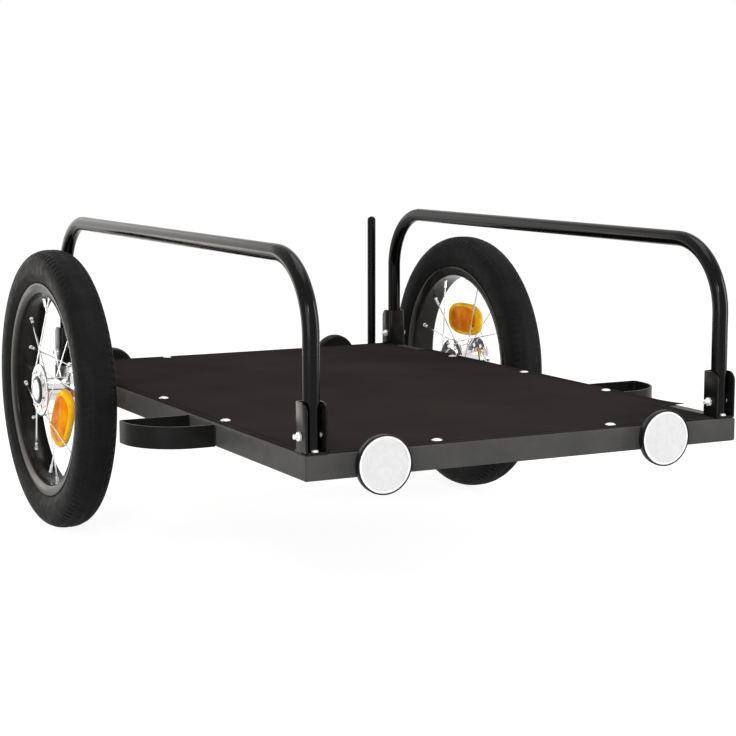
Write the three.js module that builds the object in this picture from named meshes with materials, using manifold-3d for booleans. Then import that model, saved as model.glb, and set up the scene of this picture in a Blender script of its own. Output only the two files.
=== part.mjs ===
// A flat cargo trailer for a bicycle: a welded square-tube frame under a cloth deck, a bent tube rail
// bolted along each side, and two 16-inch wire-spoked wheels on push-button axles near the rear end.
// Millimetres. +Z is up, +Y runs from the front end to the rear end, and +X is the right-hand side as
// seen by someone who stands before the front end. The origin lies on the ground, at the middle of the
// ground that the trailer covers.

import * as THREE from "three";
import { mergeVertices } from "three/addons/utils/BufferGeometryUtils.js";
import Module from "manifold-3d";

const wasm = await Module();
wasm.setup();

// Fits and cuts
const fitGap = 0.3;
const cutOverrun = 4;
const mergeDistance = 0.0001;

// Frame of square tube
const frameWidth = 600;
const frameLength = 900;
const tubeSize = 30;
const tubeWall = 2;
const tubeCornerRadius = 3;
const railTopAboveAxle = 17;
const axleToRearEnd = 148;
const middleTubeSize = 25;

// Cloth deck and the studs that hold it
const clothThickness = 1.2;
const clothInset = 2;
const clothNotchLength = 113;
const studRadius = 6.5;
const studHeight = 2;
const studInset = 15;
const endStudInset = 17;
const endStudSpacing = 244;
const studPitch = 212.5;

// Side rails bent from round tube
const hoopTubeRadius = 10;
const hoopTubeWall = 1.5;
const hoopBendRadius = 90;
const hoopTopAboveFrame = 231;
const hoopSideInset = 15;
const hoopEndInset = 15;
const hoopLegGap = 4;

// Folded brackets and bolts that hold the side rails
const bracketWidth = 28;
const bracketDepth = 30;
const bracketHeight = 58;
const bracketPlate = 2.5;
const bracketCornerRadius = 12;
const boltRadius = 3;
const boltClearance = 0.5;
const boltHeight = 20;
const boltHeadAcross = 10;
const boltHeadHeight = 4;
const nutHeight = 4;
const boltEndBeyondNut = 4;

// Flat steel wheel guards welded to the frame's sides
const guardBand = 3;
const guardHeight = 28;
const guardReach = 94;
const guardLength = 86;
const guardNoseRadius = 69;
const guardCornerRadius = 6;
const guardToFrontEnd = 261;

// Round reflectors on both ends, all of them set a little to the left
const reflectorRadius = 35;
const reflectorDepth = 12;
const reflectorBevel = 1.5;
const lensRadius = 33;
const lensRecess = 2.7;
const reflectorShift = 10;
const reflectorSpacingShare = 0.65;
const reflectorBelowTop = 16;

// Lower section of the safety flag's pole, in a saddle clip
const poleRadius = 6.75;
const poleHeight = 240;
const poleFootAboveFrame = 4;
const clipToReflector = 15;
const clipPlate = 2;
const clipHeight = 20;
const clipEar = 10;
const clipScrewRadius = 3;
const clipScrewHeight = 2;

// Tyre, inner tube and rim
const tyreHeight = 50.5;
const tyreWidth = 56;
const tyreWall = 3.6;
const wheelToFrame = 46;
const beadSeatRadius = 152.5;
const rimWidth = 44;
const rimWall = 1.8;
const rimLip = 3;
const rimWell = 3;
const rimDepth = 12.5;
const rimFlat = 30;
const innerTubeHeight = 36;
const innerTubeWidth = 37;
const innerTubeWall = 1.2;
const innerTubeSlack = 3.4;
const valveRadius = 3.2;
const valveBoreRadius = 1.4;
const valveReach = 26;
const valveHoleClearance = 0.5;

// Hub, bearings and spokes
const hubBarrelRadius = 17;
const flangeRadius = 37.5;
const flangeThickness = 3;
const flangeOffset = 24;
const hubBoss = 2.5;
const hubBossWall = 3.2;
const headRecess = 2.5;
const bearingRadius = 14;
const bearingWidth = 7.4;
const bearingShoulder = 6;
const spokeCount = 16;
const spokeRadius = 1;
const spokeSeat = 0.7;
const spokeCircleRadius = 32;
const nippleRadius = 2.1;
const nippleLength = 13;
const nippleStagger = 3;
const spokeCross = Math.PI / 2;

// Push-button axle and its socket in the frame
const axleRadius = 6;
const axleBoreRadius = 3.2;
const axleEndBeyondFrame = 6;
const axleChamfer = 1;
const axleHeadRadius = 19.7;
const axleHeadDepth = 7.2;
const axleHeadFloor = 1.6;
const buttonRadius = 14.8;
const buttonThickness = 3.2;
const buttonTravel = 3;
const buttonStemRadius = 2.6;
const buttonStemInset = 8;
const socketRadius = 9.5;
const socketCollarRadius = 13;
const socketCollar = 4;
const socketEnd = 2;

// Reflector clipped between the spokes
const spokeReflectorLength = 98;
const spokeReflectorHeight = 52;
const spokeReflectorThickness = 9;
const spokeReflectorCorner = 20;
const clipPostRadius = 3;

// How the wheels stand: how far each has turned, where its reflector is, and the gap between spokes
// that holds the valve. Angles are in radians round the axle. The left reflector lies along the outer
// spokes, and the right one stands between the outer and the inner ones.
const leftWheelTurn = Math.PI / 60;
const leftReflectorAngle = -Math.PI / 5;
const leftReflectorShare = 0.4066;
const leftReflectorOffset = 7;
const leftReflectorTilt = Math.PI / 22;
const leftValveSpace = 7;
const rightWheelTurn = -Math.PI / 60;
const rightReflectorAngle = Math.PI / 2;
const rightReflectorShare = 0.4525;
const rightValveSpace = 13;

// Facets round each kind of curve
const wheelFacets = 32;
const innerTubeFacets = 20;
const discFacets = 20;
const hubFacets = 16;
const axleFacets = 14;
const hoopFacets = 10;
const boltFacets = 8;
const hexFacets = 6;
const spokeFacets = 4;
const bendSteps = 6;
const cornerSteps = 2;
const clipSteps = 4;

// What follows from the sizes above
const halfWidth = frameWidth / 2;
const halfLength = frameLength / 2;
const tyreRadius = beadSeatRadius + tyreHeight;
const axleHeight = tyreRadius;
const frameTop = axleHeight + railTopAboveAxle;
const frameBottom = frameTop - tubeSize;
const axleY = halfLength - axleToRearEnd;
const wheelX = halfWidth + wheelToFrame;
const clothTop = frameTop + fitGap + clothThickness;
const hoopX = halfWidth - hoopSideInset;
const hoopY = halfLength - hoopEndInset;
const hoopLow = frameTop + hoopLegGap;
const hoopAxisTop = frameTop + hoopTopAboveFrame - hoopTubeRadius;
const reflectorX = (reflectorSpacingShare * frameWidth) / 2;
const leftReflectorX = -reflectorX - reflectorShift;
const rightReflectorX = reflectorX - reflectorShift;
const reflectorZ = frameTop - reflectorBelowTop;
const frontReach = halfLength + fitGap + reflectorDepth;
const rearReach = axleY + tyreRadius;
const bearingInnerEnd = flangeOffset + flangeThickness / 2 - headRecess - fitGap - bearingWidth;
const bearingOuterEnd = bearingInnerEnd + bearingWidth;
const recessFloor = bearingOuterEnd + fitGap;
const headBase = recessFloor + fitGap;
const buttonBase = headBase + axleHeadFloor + buttonTravel + fitGap;
const rimInnerRadius = beadSeatRadius - rimDepth;

// Finishes
const finish = (color, roughness, metalness) =>
  new THREE.MeshStandardMaterial({ color, roughness, metalness });
const framePaint = finish(0x2e2c2b, 0.5, 0.3);
const hoopPaint = finish(0x1f1c1b, 0.25, 0.4);
const clothBlack = finish(0x302c2b, 0.95, 0);
const zinc = finish(0xc9cacc, 0.3, 1);
const chrome = finish(0xdadcdf, 0.12, 1);
const tyreRubber = finish(0x1d1d1e, 0.85, 0);
const rimPaint = finish(0x171615, 0.25, 0.5);
const blackSteel = finish(0x1b1b1c, 0.35, 0.7);
const blackPlastic = finish(0x19191a, 0.45, 0);
const whiteLens = finish(0xeeeeef, 0.25, 0);
const amberLens = finish(0xe6820c, 0.2, 0);

// A closed geometry as a solid that can be joined and cut. It is turned the right way out if it isn't.
function solidFrom(geometry) {
  const plain = geometry.index ? geometry.toNonIndexed() : geometry.clone();
  plain.deleteAttribute("normal");
  plain.deleteAttribute("uv");
  const merged = mergeVertices(plain, mergeDistance);
  const corners = merged.index.array;
  const kept = [];
  for (let i = 0; i < corners.length; i += 3) {
    const [a, b, c] = corners.slice(i, i + 3);
    if (a !== b && b !== c && c !== a) kept.push(a, b, c);
  }
  const build = (triangles) =>
    new wasm.Manifold(
      new wasm.Mesh({
        numProp: 3,
        vertProperties: merged.attributes.position.array,
        triVerts: new Uint32Array(triangles),
      }),
    );
  const made = build(kept);
  return made.volume() < 0 ? build(kept.reverse()) : made;
}

// A finished solid as a three.js geometry.
function geometryFrom(solid) {
  const mesh = solid.getMesh();
  const geometry = new THREE.BufferGeometry();
  const places = new Float32Array(mesh.vertProperties);
  geometry.setAttribute("position", new THREE.BufferAttribute(places, mesh.numProp));
  geometry.setIndex(new THREE.BufferAttribute(new Uint32Array(mesh.triVerts), 1));
  const faceted = geometry.toNonIndexed();
  faceted.computeVertexNormals();
  return faceted;
}

// A profile of [along, radius] points turned round the X axis. It starts and ends on the axis, or it
// closes on itself.
function turned(profile, facets) {
  const points = profile.map(([along, radius]) => new THREE.Vector2(radius, along));
  const closed = profile[0][1] > 0;
  if (closed) points.push(points[0].clone());
  const geometry = new THREE.LatheGeometry(points, facets);
  geometry.rotateZ(-Math.PI / 2);
  return solidFrom(geometry);
}

// A round or many-sided bar from one point to another.
function bar(start, end, radius, facets) {
  const along = end.clone().sub(start);
  const geometry = new THREE.CylinderGeometry(radius, radius, along.length(), facets);
  const up = new THREE.Vector3(0, 1, 0);
  geometry.applyQuaternion(new THREE.Quaternion().setFromUnitVectors(up, along.clone().normalize()));
  const middle = start.clone().add(end).multiplyScalar(0.5);
  geometry.translate(middle.x, middle.y, middle.z);
  return solidFrom(geometry);
}

// A bar along X through (y, z).
function crossBar(fromX, toX, y, z, radius, facets) {
  return bar(new THREE.Vector3(fromX, y, z), new THREE.Vector3(toX, y, z), radius, facets);
}

// A flat outline drawn in X and Y and raised from low to high along Z.
function raised(shape, low, high, curveSegments) {
  const options = { depth: high - low, bevelEnabled: false, curveSegments };
  const geometry = new THREE.ExtrudeGeometry(shape, options);
  geometry.translate(0, 0, low);
  return solidFrom(geometry);
}

// The outline of a rectangle with round corners, centred on zero.
function roundedRectangle(width, height, radius) {
  const x = width / 2 - radius;
  const y = height / 2 - radius;
  const shape = new THREE.Shape();
  shape.absarc(x, y, radius, 0, Math.PI / 2);
  shape.absarc(-x, y, radius, Math.PI / 2, Math.PI);
  shape.absarc(-x, -y, radius, Math.PI, 1.5 * Math.PI);
  shape.absarc(x, -y, radius, 1.5 * Math.PI, 2 * Math.PI);
  shape.closePath();
  return shape;
}

// A point at a radius and an angle round the X axis. The angle starts at +Y and grows towards +Z.
function around(x, radius, angle) {
  return new THREE.Vector3(x, radius * Math.cos(angle), radius * Math.sin(angle));
}

const trailer = new THREE.Group();
trailer.position.y = (frontReach - rearReach) / 2;

function addPiece(parent, name, solid, material, place = [0, 0, 0], turn = [0, 0, 0]) {
  const mesh = new THREE.Mesh(geometryFrom(solid), material);
  mesh.name = name;
  mesh.position.set(...place);
  mesh.rotation.set(...turn);
  parent.add(mesh);
  return mesh;
}

// Square tube along Y, centred on zero. Each end is cut back towards the inner side, to meet its
// neighbour in a mitre. outer is +1 or -1, the side of the tube that is on the outside.
function mitredTube(length, outer) {
  const section = roundedRectangle(tubeSize, tubeSize, tubeCornerRadius);
  const bore = tubeSize - 2 * tubeWall;
  const hole = new THREE.Path();
  hole.moveTo(-bore / 2, -bore / 2);
  hole.lineTo(bore / 2, -bore / 2);
  hole.lineTo(bore / 2, bore / 2);
  hole.lineTo(-bore / 2, bore / 2);
  hole.closePath();
  section.holes.push(hole);
  const options = { depth: length, bevelEnabled: false, curveSegments: 1 };
  const geometry = new THREE.ExtrudeGeometry(section, options);
  geometry.translate(0, 0, -length / 2);
  geometry.rotateX(-Math.PI / 2);
  const places = geometry.attributes.position;
  for (let i = 0; i < places.count; i += 1) {
    const fromOuter = tubeSize / 2 - outer * places.getX(i);
    const end = Math.sign(places.getY(i));
    places.setY(i, places.getY(i) - end * (fromOuter + fitGap / Math.SQRT2));
  }
  return solidFrom(geometry);
}

// Side tube of the frame with the axle socket welded through it. side is -1 on the left, +1 on the
// right. The socket's nose reaches into the hub as far as the inner bearing.
function sideTube(side) {
  const tubeX = side * (halfWidth - tubeSize / 2);
  const local = (x) => side * x - tubeX;
  const z = axleHeight - (frameTop - tubeSize / 2);
  const innerEnd = local(halfWidth - tubeSize - socketEnd);
  const noseEnd = local(wheelX - bearingOuterEnd - fitGap);
  const face = local(halfWidth - tubeCornerRadius);
  const collarEnd = local(halfWidth + socketCollar);
  const past = side * cutOverrun;
  return mitredTube(frameLength, side)
    .add(crossBar(innerEnd, noseEnd, axleY, z, socketRadius, axleFacets))
    .add(crossBar(face, collarEnd, axleY, z, socketCollarRadius, axleFacets))
    .subtract(crossBar(innerEnd - past, noseEnd + past, axleY, z, axleRadius + fitGap, axleFacets));
}

function addFrame(parent) {
  const tubeZ = frameTop - tubeSize / 2;
  const tubeX = halfWidth - tubeSize / 2;
  const tubeY = halfLength - tubeSize / 2;
  const quarter = Math.PI / 2;
  addPiece(parent, "left_side_tube", sideTube(-1), framePaint, [-tubeX, 0, tubeZ]);
  addPiece(parent, "right_side_tube", sideTube(1), framePaint, [tubeX, 0, tubeZ]);
  const endTube = mitredTube(frameWidth, 1);
  addPiece(parent, "front_cross_tube", endTube, framePaint, [0, -tubeY, tubeZ], [0, 0, -quarter]);
  addPiece(parent, "rear_cross_tube", endTube, framePaint, [0, tubeY, tubeZ], [0, 0, quarter]);
  const bore = middleTubeSize - 2 * tubeWall;
  const section = roundedRectangle(middleTubeSize, middleTubeSize, tubeCornerRadius);
  section.holes.push(roundedRectangle(bore, bore, tubeCornerRadius - tubeWall));
  const span = frameWidth - 2 * (tubeSize + fitGap);
  const middle = raised(section, -span / 2, span / 2, 1);
  const middleY = halfLength - 2 * studPitch;
  const middleZ = frameBottom + middleTubeSize / 2;
  addPiece(parent, "middle_cross_tube", middle, framePaint, [0, middleY, middleZ], [0, quarter, 0]);
}

// One sheet of cloth over the whole frame, cut away at the corners to clear the brackets.
function deckCloth() {
  const x = halfWidth - clothInset;
  const y = halfLength - clothInset;
  const innerX = hoopX - bracketWidth / 2 - fitGap;
  const innerY = y - clothNotchLength;
  const corners = [
    [innerX, y],
    [innerX, innerY],
    [x, innerY],
    [x, -innerY],
    [innerX, -innerY],
    [innerX, -y],
  ];
  const opposite = corners.map(([px, py]) => [-px, -py]);
  const outline = [...corners, ...opposite].map(([px, py]) => new THREE.Vector2(px, py));
  return raised(new THREE.Shape(outline), frameTop + fitGap, clothTop, 1);
}

// A stud's head, drawn from its seat upwards and turned to stand along Z.
function addStuds(parent) {
  const stud = turned(
    [
      [0, 0],
      [0, studRadius],
      [studHeight, studRadius / 2],
      [studHeight, 0],
    ],
    boltFacets,
  );
  const upright = [0, -Math.PI / 2, 0];
  const z = clothTop + fitGap;
  const sideX = halfWidth - studInset;
  const endY = halfLength - endStudInset;
  for (const [side, sign] of [["left", -1], ["right", 1]]) {
    for (const [i, where] of ["rear", "middle", "front"].entries()) {
      const y = halfLength - (i + 1) * studPitch;
      addPiece(parent, `${side}_${where}_stud`, stud, zinc, [sign * sideX, y, z], upright);
    }
    const x = sign * (endStudSpacing / 2);
    addPiece(parent, `front_${side}_stud`, stud, zinc, [x, -endY, z], upright);
    addPiece(parent, `rear_${side}_stud`, stud, zinc, [x, endY, z], upright);
  }
}

// Places along the side rail's centre line, as [y, z, angle of travel above the Y axis].
function hoopStations() {
  const stations = [[-hoopY, hoopLow, Math.PI / 2]];
  for (const end of [-1, 1]) {
    for (let i = 0; i <= bendSteps; i += 1) {
      const bend = (Math.PI / 2) * (i / bendSteps);
      const angle = end < 0 ? Math.PI / 2 - bend : -bend;
      const y = end * (hoopY - hoopBendRadius) - hoopBendRadius * Math.sin(angle);
      stations.push([y, hoopAxisTop - hoopBendRadius + hoopBendRadius * Math.cos(angle), angle]);
    }
  }
  stations.push([hoopY, hoopLow, -Math.PI / 2]);
  return stations;
}

// A round bar that follows the stations, with both ends run on by extra.
function bentBar(stations, radius, facets, extra) {
  const rings = stations.map(([y, z, angle], i) => {
    const run = i === 0 ? -extra : i === stations.length - 1 ? extra : 0;
    const centre = new THREE.Vector3(0, y + run * Math.cos(angle), z + run * Math.sin(angle));
    const across = new THREE.Vector3(0, -Math.sin(angle), Math.cos(angle));
    return Array.from({ length: facets }, (_, j) => {
      const turn = (2 * Math.PI * j) / facets;
      const point = centre.clone().addScaledVector(across, radius * Math.sin(turn));
      point.x += radius * Math.cos(turn);
      return point;
    });
  });
  const places = rings.flat().flatMap((point) => point.toArray());
  const triangles = [];
  for (let i = 0; i + 1 < rings.length; i += 1) {
    for (let j = 0; j < facets; j += 1) {
      const next = (j + 1) % facets;
      const [a, b] = [i * facets + j, i * facets + next];
      const [c, d] = [a + facets, b + facets];
      triangles.push(a, b, d, a, d, c);
    }
  }
  const last = (rings.length - 1) * facets;
  for (let j = 1; j + 1 < facets; j += 1) {
    triangles.push(0, j + 1, j, last, last + j, last + j + 1);
  }
  const geometry = new THREE.BufferGeometry();
  geometry.setAttribute("position", new THREE.Float32BufferAttribute(places, 3));
  geometry.setIndex(triangles);
  return solidFrom(geometry);
}

// The bent tube of one side, open at the foot of each leg, with a bolt hole through each leg.
function hoop() {
  const stations = hoopStations();
  const z = frameTop + boltHeight;
  const reach = hoopTubeRadius + cutOverrun;
  const holeRadius = boltRadius + boltClearance;
  const bore = bentBar(stations, hoopTubeRadius - hoopTubeWall, hexFacets, cutOverrun);
  return bentBar(stations, hoopTubeRadius, hoopFacets, 0)
    .subtract(bore)
    .subtract(crossBar(-reach, reach, -hoopY, z, holeRadius, boltFacets))
    .subtract(crossBar(-reach, reach, hoopY, z, holeRadius, boltFacets));
}

// An upright channel folded from plate, open towards -Y, on a foot that lies on the frame. Its two
// cheeks have a round top corner on the open side.
function hoopBracket() {
  const x = bracketWidth / 2;
  const innerX = x - bracketPlate;
  const back = bracketDepth / 2;
  const channel = new THREE.Shape(
    [
      [-x, -back],
      [-innerX, -back],
      [-innerX, back - bracketPlate],
      [innerX, back - bracketPlate],
      [innerX, -back],
      [x, -back],
      [x, back],
      [-x, back],
    ].map(([px, py]) => new THREE.Vector2(px, py)),
  );
  const cheek = new THREE.Shape();
  cheek.moveTo(back, 0);
  cheek.lineTo(back, bracketHeight);
  const corner = bracketCornerRadius;
  cheek.absarc(corner - back, bracketHeight - corner, corner, Math.PI / 2, Math.PI);
  cheek.lineTo(-back, 0);
  cheek.closePath();
  const side = new THREE.ExtrudeGeometry(cheek, {
    depth: bracketWidth,
    bevelEnabled: false,
    curveSegments: cornerSteps,
  });
  side.translate(0, 0, -x);
  side.rotateY(Math.PI / 2);
  side.rotateX(Math.PI / 2);
  const foot = new THREE.BoxGeometry(bracketWidth, bracketDepth, bracketPlate);
  foot.translate(0, 0, bracketPlate / 2);
  const reach = x + cutOverrun;
  return raised(channel, 0, bracketHeight, 1)
    .intersect(solidFrom(side))
    .add(solidFrom(foot))
    .subtract(crossBar(-reach, reach, 0, boltHeight, boltRadius + boltClearance, boltFacets));
}

// The distance from a hexagon's centre to its corners, from its size across the flats.
const hexRadius = boltHeadAcross / 2 / Math.cos(Math.PI / hexFacets);

// Bolt along X with its head against the +X cheek and its end past the nut on the -X side.
function hoopBolt() {
  const cheek = bracketWidth / 2 + fitGap;
  const end = cheek + nutHeight + boltEndBeyondNut;
  return crossBar(cheek, cheek + boltHeadHeight, 0, 0, hexRadius, hexFacets).add(
    crossBar(-end, cheek + boltHeadHeight / 2, 0, 0, boltRadius, boltFacets),
  );
}

function hexNut() {
  const half = nutHeight / 2;
  const past = half + cutOverrun;
  return crossBar(-half, half, 0, 0, hexRadius, hexFacets).subtract(
    crossBar(-past, past, 0, 0, boltRadius + fitGap, boltFacets),
  );
}

function addSideRails(parent) {
  const tube = hoop();
  const bracket = hoopBracket();
  const bolt = hoopBolt();
  const nut = hexNut();
  const boltZ = frameTop + boltHeight;
  const nutX = bracketWidth / 2 + fitGap + nutHeight / 2;
  for (const [side, sign] of [["left", -1], ["right", 1]]) {
    const x = sign * hoopX;
    addPiece(parent, `${side}_hoop`, tube, hoopPaint, [x, 0, 0]);
    for (const [end, y, turn] of [["front", -hoopY, 0], ["rear", hoopY, Math.PI]]) {
      const foot = [x, y, frameTop + fitGap];
      addPiece(parent, `${end}_${side}_bracket`, bracket, framePaint, foot, [0, 0, turn]);
      addPiece(parent, `${end}_${side}_bolt`, bolt, zinc, [x, y, boltZ]);
      addPiece(parent, `${end}_${side}_nut`, nut, zinc, [x - nutX, y, boltZ]);
    }
  }
}

// One edge of the guard's flat band: out from the frame, round the nose, back past the corner and in
// to the frame again. offset moves the whole edge outwards from the band's middle line.
function guardEdge(offset) {
  const nose = guardNoseRadius + offset;
  const corner = guardCornerRadius + offset;
  const noseX = guardReach - guardNoseRadius;
  const noseY = guardNoseRadius - guardLength;
  const edge = new THREE.Path();
  edge.moveTo(fitGap, noseY - nose);
  edge.absarc(noseX, noseY, nose, -Math.PI / 2, 0);
  edge.absarc(guardReach - guardCornerRadius, -guardCornerRadius, corner, 0, Math.PI / 2);
  edge.lineTo(fitGap, offset);
  return edge.getPoints(bendSteps);
}

function addGuards(parent) {
  const outline = [...guardEdge(guardBand / 2), ...guardEdge(-guardBand / 2).reverse()];
  const band = raised(new THREE.Shape(outline), 0, guardHeight, 1);
  const y = guardToFrontEnd + guardLength - halfLength;
  addPiece(parent, "right_wheel_guard", band, framePaint, [halfWidth, y, frameBottom]);
  const left = new THREE.Group();
  left.scale.x = -1;
  parent.add(left);
  addPiece(left, "left_wheel_guard", band, framePaint, [halfWidth, y, frameBottom]);
}

// Reflector housings and lenses are turned round X and then faced outwards along the trailer.
function addEndReflectors(parent) {
  const front = reflectorDepth;
  const seat = front - lensRecess;
  const housing = turned(
    [
      [0, 0],
      [0, reflectorRadius - reflectorBevel],
      [reflectorBevel, reflectorRadius],
      [front, reflectorRadius],
      [front, lensRadius + fitGap],
      [seat, lensRadius + fitGap],
      [seat, 0],
    ],
    discFacets,
  );
  const lens = turned(
    [
      [seat + fitGap, 0],
      [seat + fitGap, lensRadius],
      [front, lensRadius],
      [front, 0],
    ],
    discFacets,
  );
  const y = halfLength + fitGap;
  for (const [end, sign] of [["front", -1], ["rear", 1]]) {
    for (const [side, x] of [["left", leftReflectorX], ["right", rightReflectorX]]) {
      const place = [x, sign * y, reflectorZ];
      const facing = [0, 0, sign * (Math.PI / 2)];
      addPiece(parent, `${end}_${side}_reflector_housing`, housing, blackPlastic, place, facing);
      addPiece(parent, `${end}_${side}_reflector_lens`, lens, whiteLens, place, facing);
    }
  }
}

// The flag pole's lower section stands against the rear tube in a saddle clip with two screws.
function addFlagPole(parent) {
  const inner = poleRadius + fitGap;
  const outer = inner + clipPlate;
  const x = rightReflectorX + reflectorRadius + clipToReflector + clipEar + outer;
  const y = halfLength + fitGap + poleRadius;
  const foot = frameBottom + poleFootAboveFrame;
  const pole = turned(
    [
      [0, 0],
      [0, poleRadius],
      [poleHeight - poleRadius / 2, poleRadius],
      [poleHeight, poleRadius / 2],
      [poleHeight, 0],
    ],
    axleFacets,
  );
  addPiece(parent, "flag_pole", pole, hoopPaint, [x, y, foot], [0, -Math.PI / 2, 0]);
  const saddle = new THREE.Shape();
  saddle.moveTo(outer + clipEar, -poleRadius);
  saddle.lineTo(outer + clipEar, clipPlate - poleRadius);
  saddle.lineTo(outer, clipPlate - poleRadius);
  saddle.absarc(0, 0, outer, 0, Math.PI);
  saddle.lineTo(-outer, clipPlate - poleRadius);
  saddle.lineTo(-outer - clipEar, clipPlate - poleRadius);
  saddle.lineTo(-outer - clipEar, -poleRadius);
  saddle.lineTo(-inner, -poleRadius);
  saddle.absarc(0, 0, inner, Math.PI, 0, true);
  saddle.lineTo(inner, -poleRadius);
  saddle.closePath();
  let clip = raised(saddle, 0, clipHeight, clipSteps);
  for (const sign of [-1, 1]) {
    const head = new THREE.Vector3(sign * (outer + clipEar / 2), 0, clipHeight / 2);
    head.y = clipPlate / 2 - poleRadius;
    const top = head.clone();
    top.y += clipPlate / 2 + clipScrewHeight;
    clip = clip.add(bar(head, top, clipScrewRadius, boltFacets));
  }
  const low = frameTop - tubeSize / 2 - clipHeight / 2;
  addPiece(parent, "flag_pole_clip", clip, blackPlastic, [x, y, low]);
}

// Half of the tyre's outline above the rim's lip, outside and inside, as shares of the tyre's half
// width and of its height above the bead seat.
const tyreShares = [
  [1, 0.5],
  [0.94, 0.73],
  [0.74, 0.9],
  [0.43, 0.98],
];
const tyreInnerShares = [
  [1, 0.52],
  [0.74, 0.9],
];

// The tyre is an open horseshoe in section, with its two beads inside the rim's lips.
function tyre() {
  const height = tyreRadius - beadSeatRadius;
  const bead = rimWidth / 2 - rimWall - fitGap;
  const seat = beadSeatRadius + fitGap;
  const overLip = beadSeatRadius + rimLip + fitGap;
  const outerHalf = [
    [bead, seat],
    [bead, overLip],
    [rimWidth / 2, overLip + rimWall],
    ...tyreShares.map(([w, h]) => [(w * tyreWidth) / 2, beadSeatRadius + h * height]),
  ];
  const innerWidth = tyreWidth / 2 - tyreWall;
  const innerHalf = [
    [bead - tyreWall, seat],
    ...tyreInnerShares.map(([w, h]) => [
      w * innerWidth,
      beadSeatRadius + h * (height - tyreWall),
    ]),
  ];
  const mirrored = (half) => half.map(([along, radius]) => [-along, radius]).reverse();
  const crown = [0, tyreRadius];
  const innerCrown = [0, tyreRadius - tyreWall];
  return turned(
    [
      ...outerHalf,
      crown,
      ...mirrored(outerHalf),
      ...innerHalf.map(([along, radius]) => [-along, radius]),
      innerCrown,
      ...[...innerHalf].reverse(),
    ],
    wheelFacets,
  );
}

// Oval section of the inner tube, grown or shrunk by offset.
function innerTubeSection(offset) {
  const centre = tyreRadius - tyreWall - innerTubeSlack - innerTubeHeight / 2;
  const halfHeight = innerTubeHeight / 2 + offset;
  const halfSpan = innerTubeWidth / 2 + offset;
  return Array.from({ length: boltFacets }, (_, i) => {
    const angle = (2 * Math.PI * i) / boltFacets;
    return [halfSpan * Math.cos(angle), centre + halfHeight * Math.sin(angle)];
  });
}

// The inner tube is hollow, and its valve stem's bore opens the hollow to the outside.
function innerTube(valveAngle) {
  const root = (beadSeatRadius + tyreRadius) / 2;
  const tip = rimInnerRadius - valveReach;
  const stem = (radius, from, to) =>
    bar(around(0, to, valveAngle), around(0, from, valveAngle), radius, boltFacets);
  const hollow = turned(innerTubeSection(-innerTubeWall), innerTubeFacets);
  return turned(innerTubeSection(0), innerTubeFacets)
    .add(stem(valveRadius, root, tip))
    .subtract(hollow)
    .subtract(stem(valveBoreRadius, root, tip - cutOverrun));
}

// Where each spoke runs. Spokes go to the two flanges in turn. On each flange every other one lies on
// the far face and leans the other way, so that it crosses its neighbours.
function spokeLines(turn) {
  return Array.from({ length: spokeCount }, (_, i) => {
    const flange = i % 2 ? -1 : 1;
    const lean = i % 4 < 2 ? 1 : -1;
    const rimAngle = turn + (2 * Math.PI * i) / spokeCount;
    const hubX = flange * flangeOffset + lean * (flangeThickness / 2 + spokeSeat);
    const hub = around(hubX, spokeCircleRadius, rimAngle + lean * spokeCross);
    const rim = around(flange * nippleStagger, rimInnerRadius + rimWall, rimAngle);
    const inward = hub.clone().sub(rim).normalize();
    return {
      hub,
      rim,
      nippleEnd: rim.clone().addScaledVector(inward, nippleLength),
      end: rim.clone().addScaledVector(inward, nippleLength + fitGap),
    };
  });
}

// Box-section rim with a lip on both sides and a nipple for each spoke. The valve's hole goes through
// both walls and the chamber between them.
function rim(turn, valveAngle) {
  const half = rimWidth / 2;
  const bed = half - rimWall;
  const lipTop = beadSeatRadius + rimLip;
  const wellRadius = beadSeatRadius - rimWell;
  const outline = [
    [half, lipTop],
    [half, beadSeatRadius],
    [half - rimWell, rimInnerRadius + rimWall / 2],
    [rimFlat / 2, rimInnerRadius],
  ];
  const bedInner = [
    [half / 2, wellRadius],
    [bed, beadSeatRadius],
    [bed, lipTop],
  ];
  const chamber = [
    [half / 2, wellRadius - rimWall],
    [half - 2 * rimWall, beadSeatRadius - 1.5 * rimWall],
    [half - rimWell - rimWall, rimInnerRadius + 1.5 * rimWall],
    [rimFlat / 2, rimInnerRadius + rimWall],
  ];
  const mirrored = (side) => side.map(([along, radius]) => [-along, radius]).reverse();
  const walls = [...outline, ...mirrored(outline), ...mirrored(bedInner), ...bedInner];
  let solid = turned(walls, wheelFacets);
  solid = solid.subtract(turned([...chamber, ...mirrored(chamber)], wheelFacets));
  for (const line of spokeLines(turn)) {
    solid = solid.add(bar(line.rim, line.nippleEnd, nippleRadius, hexFacets));
  }
  const past = beadSeatRadius + cutOverrun;
  const hole = bar(
    around(0, rimInnerRadius - cutOverrun, valveAngle),
    around(0, past, valveAngle),
    valveRadius + valveHoleClearance,
    boltFacets,
  );
  return solid.subtract(hole);
}

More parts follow.
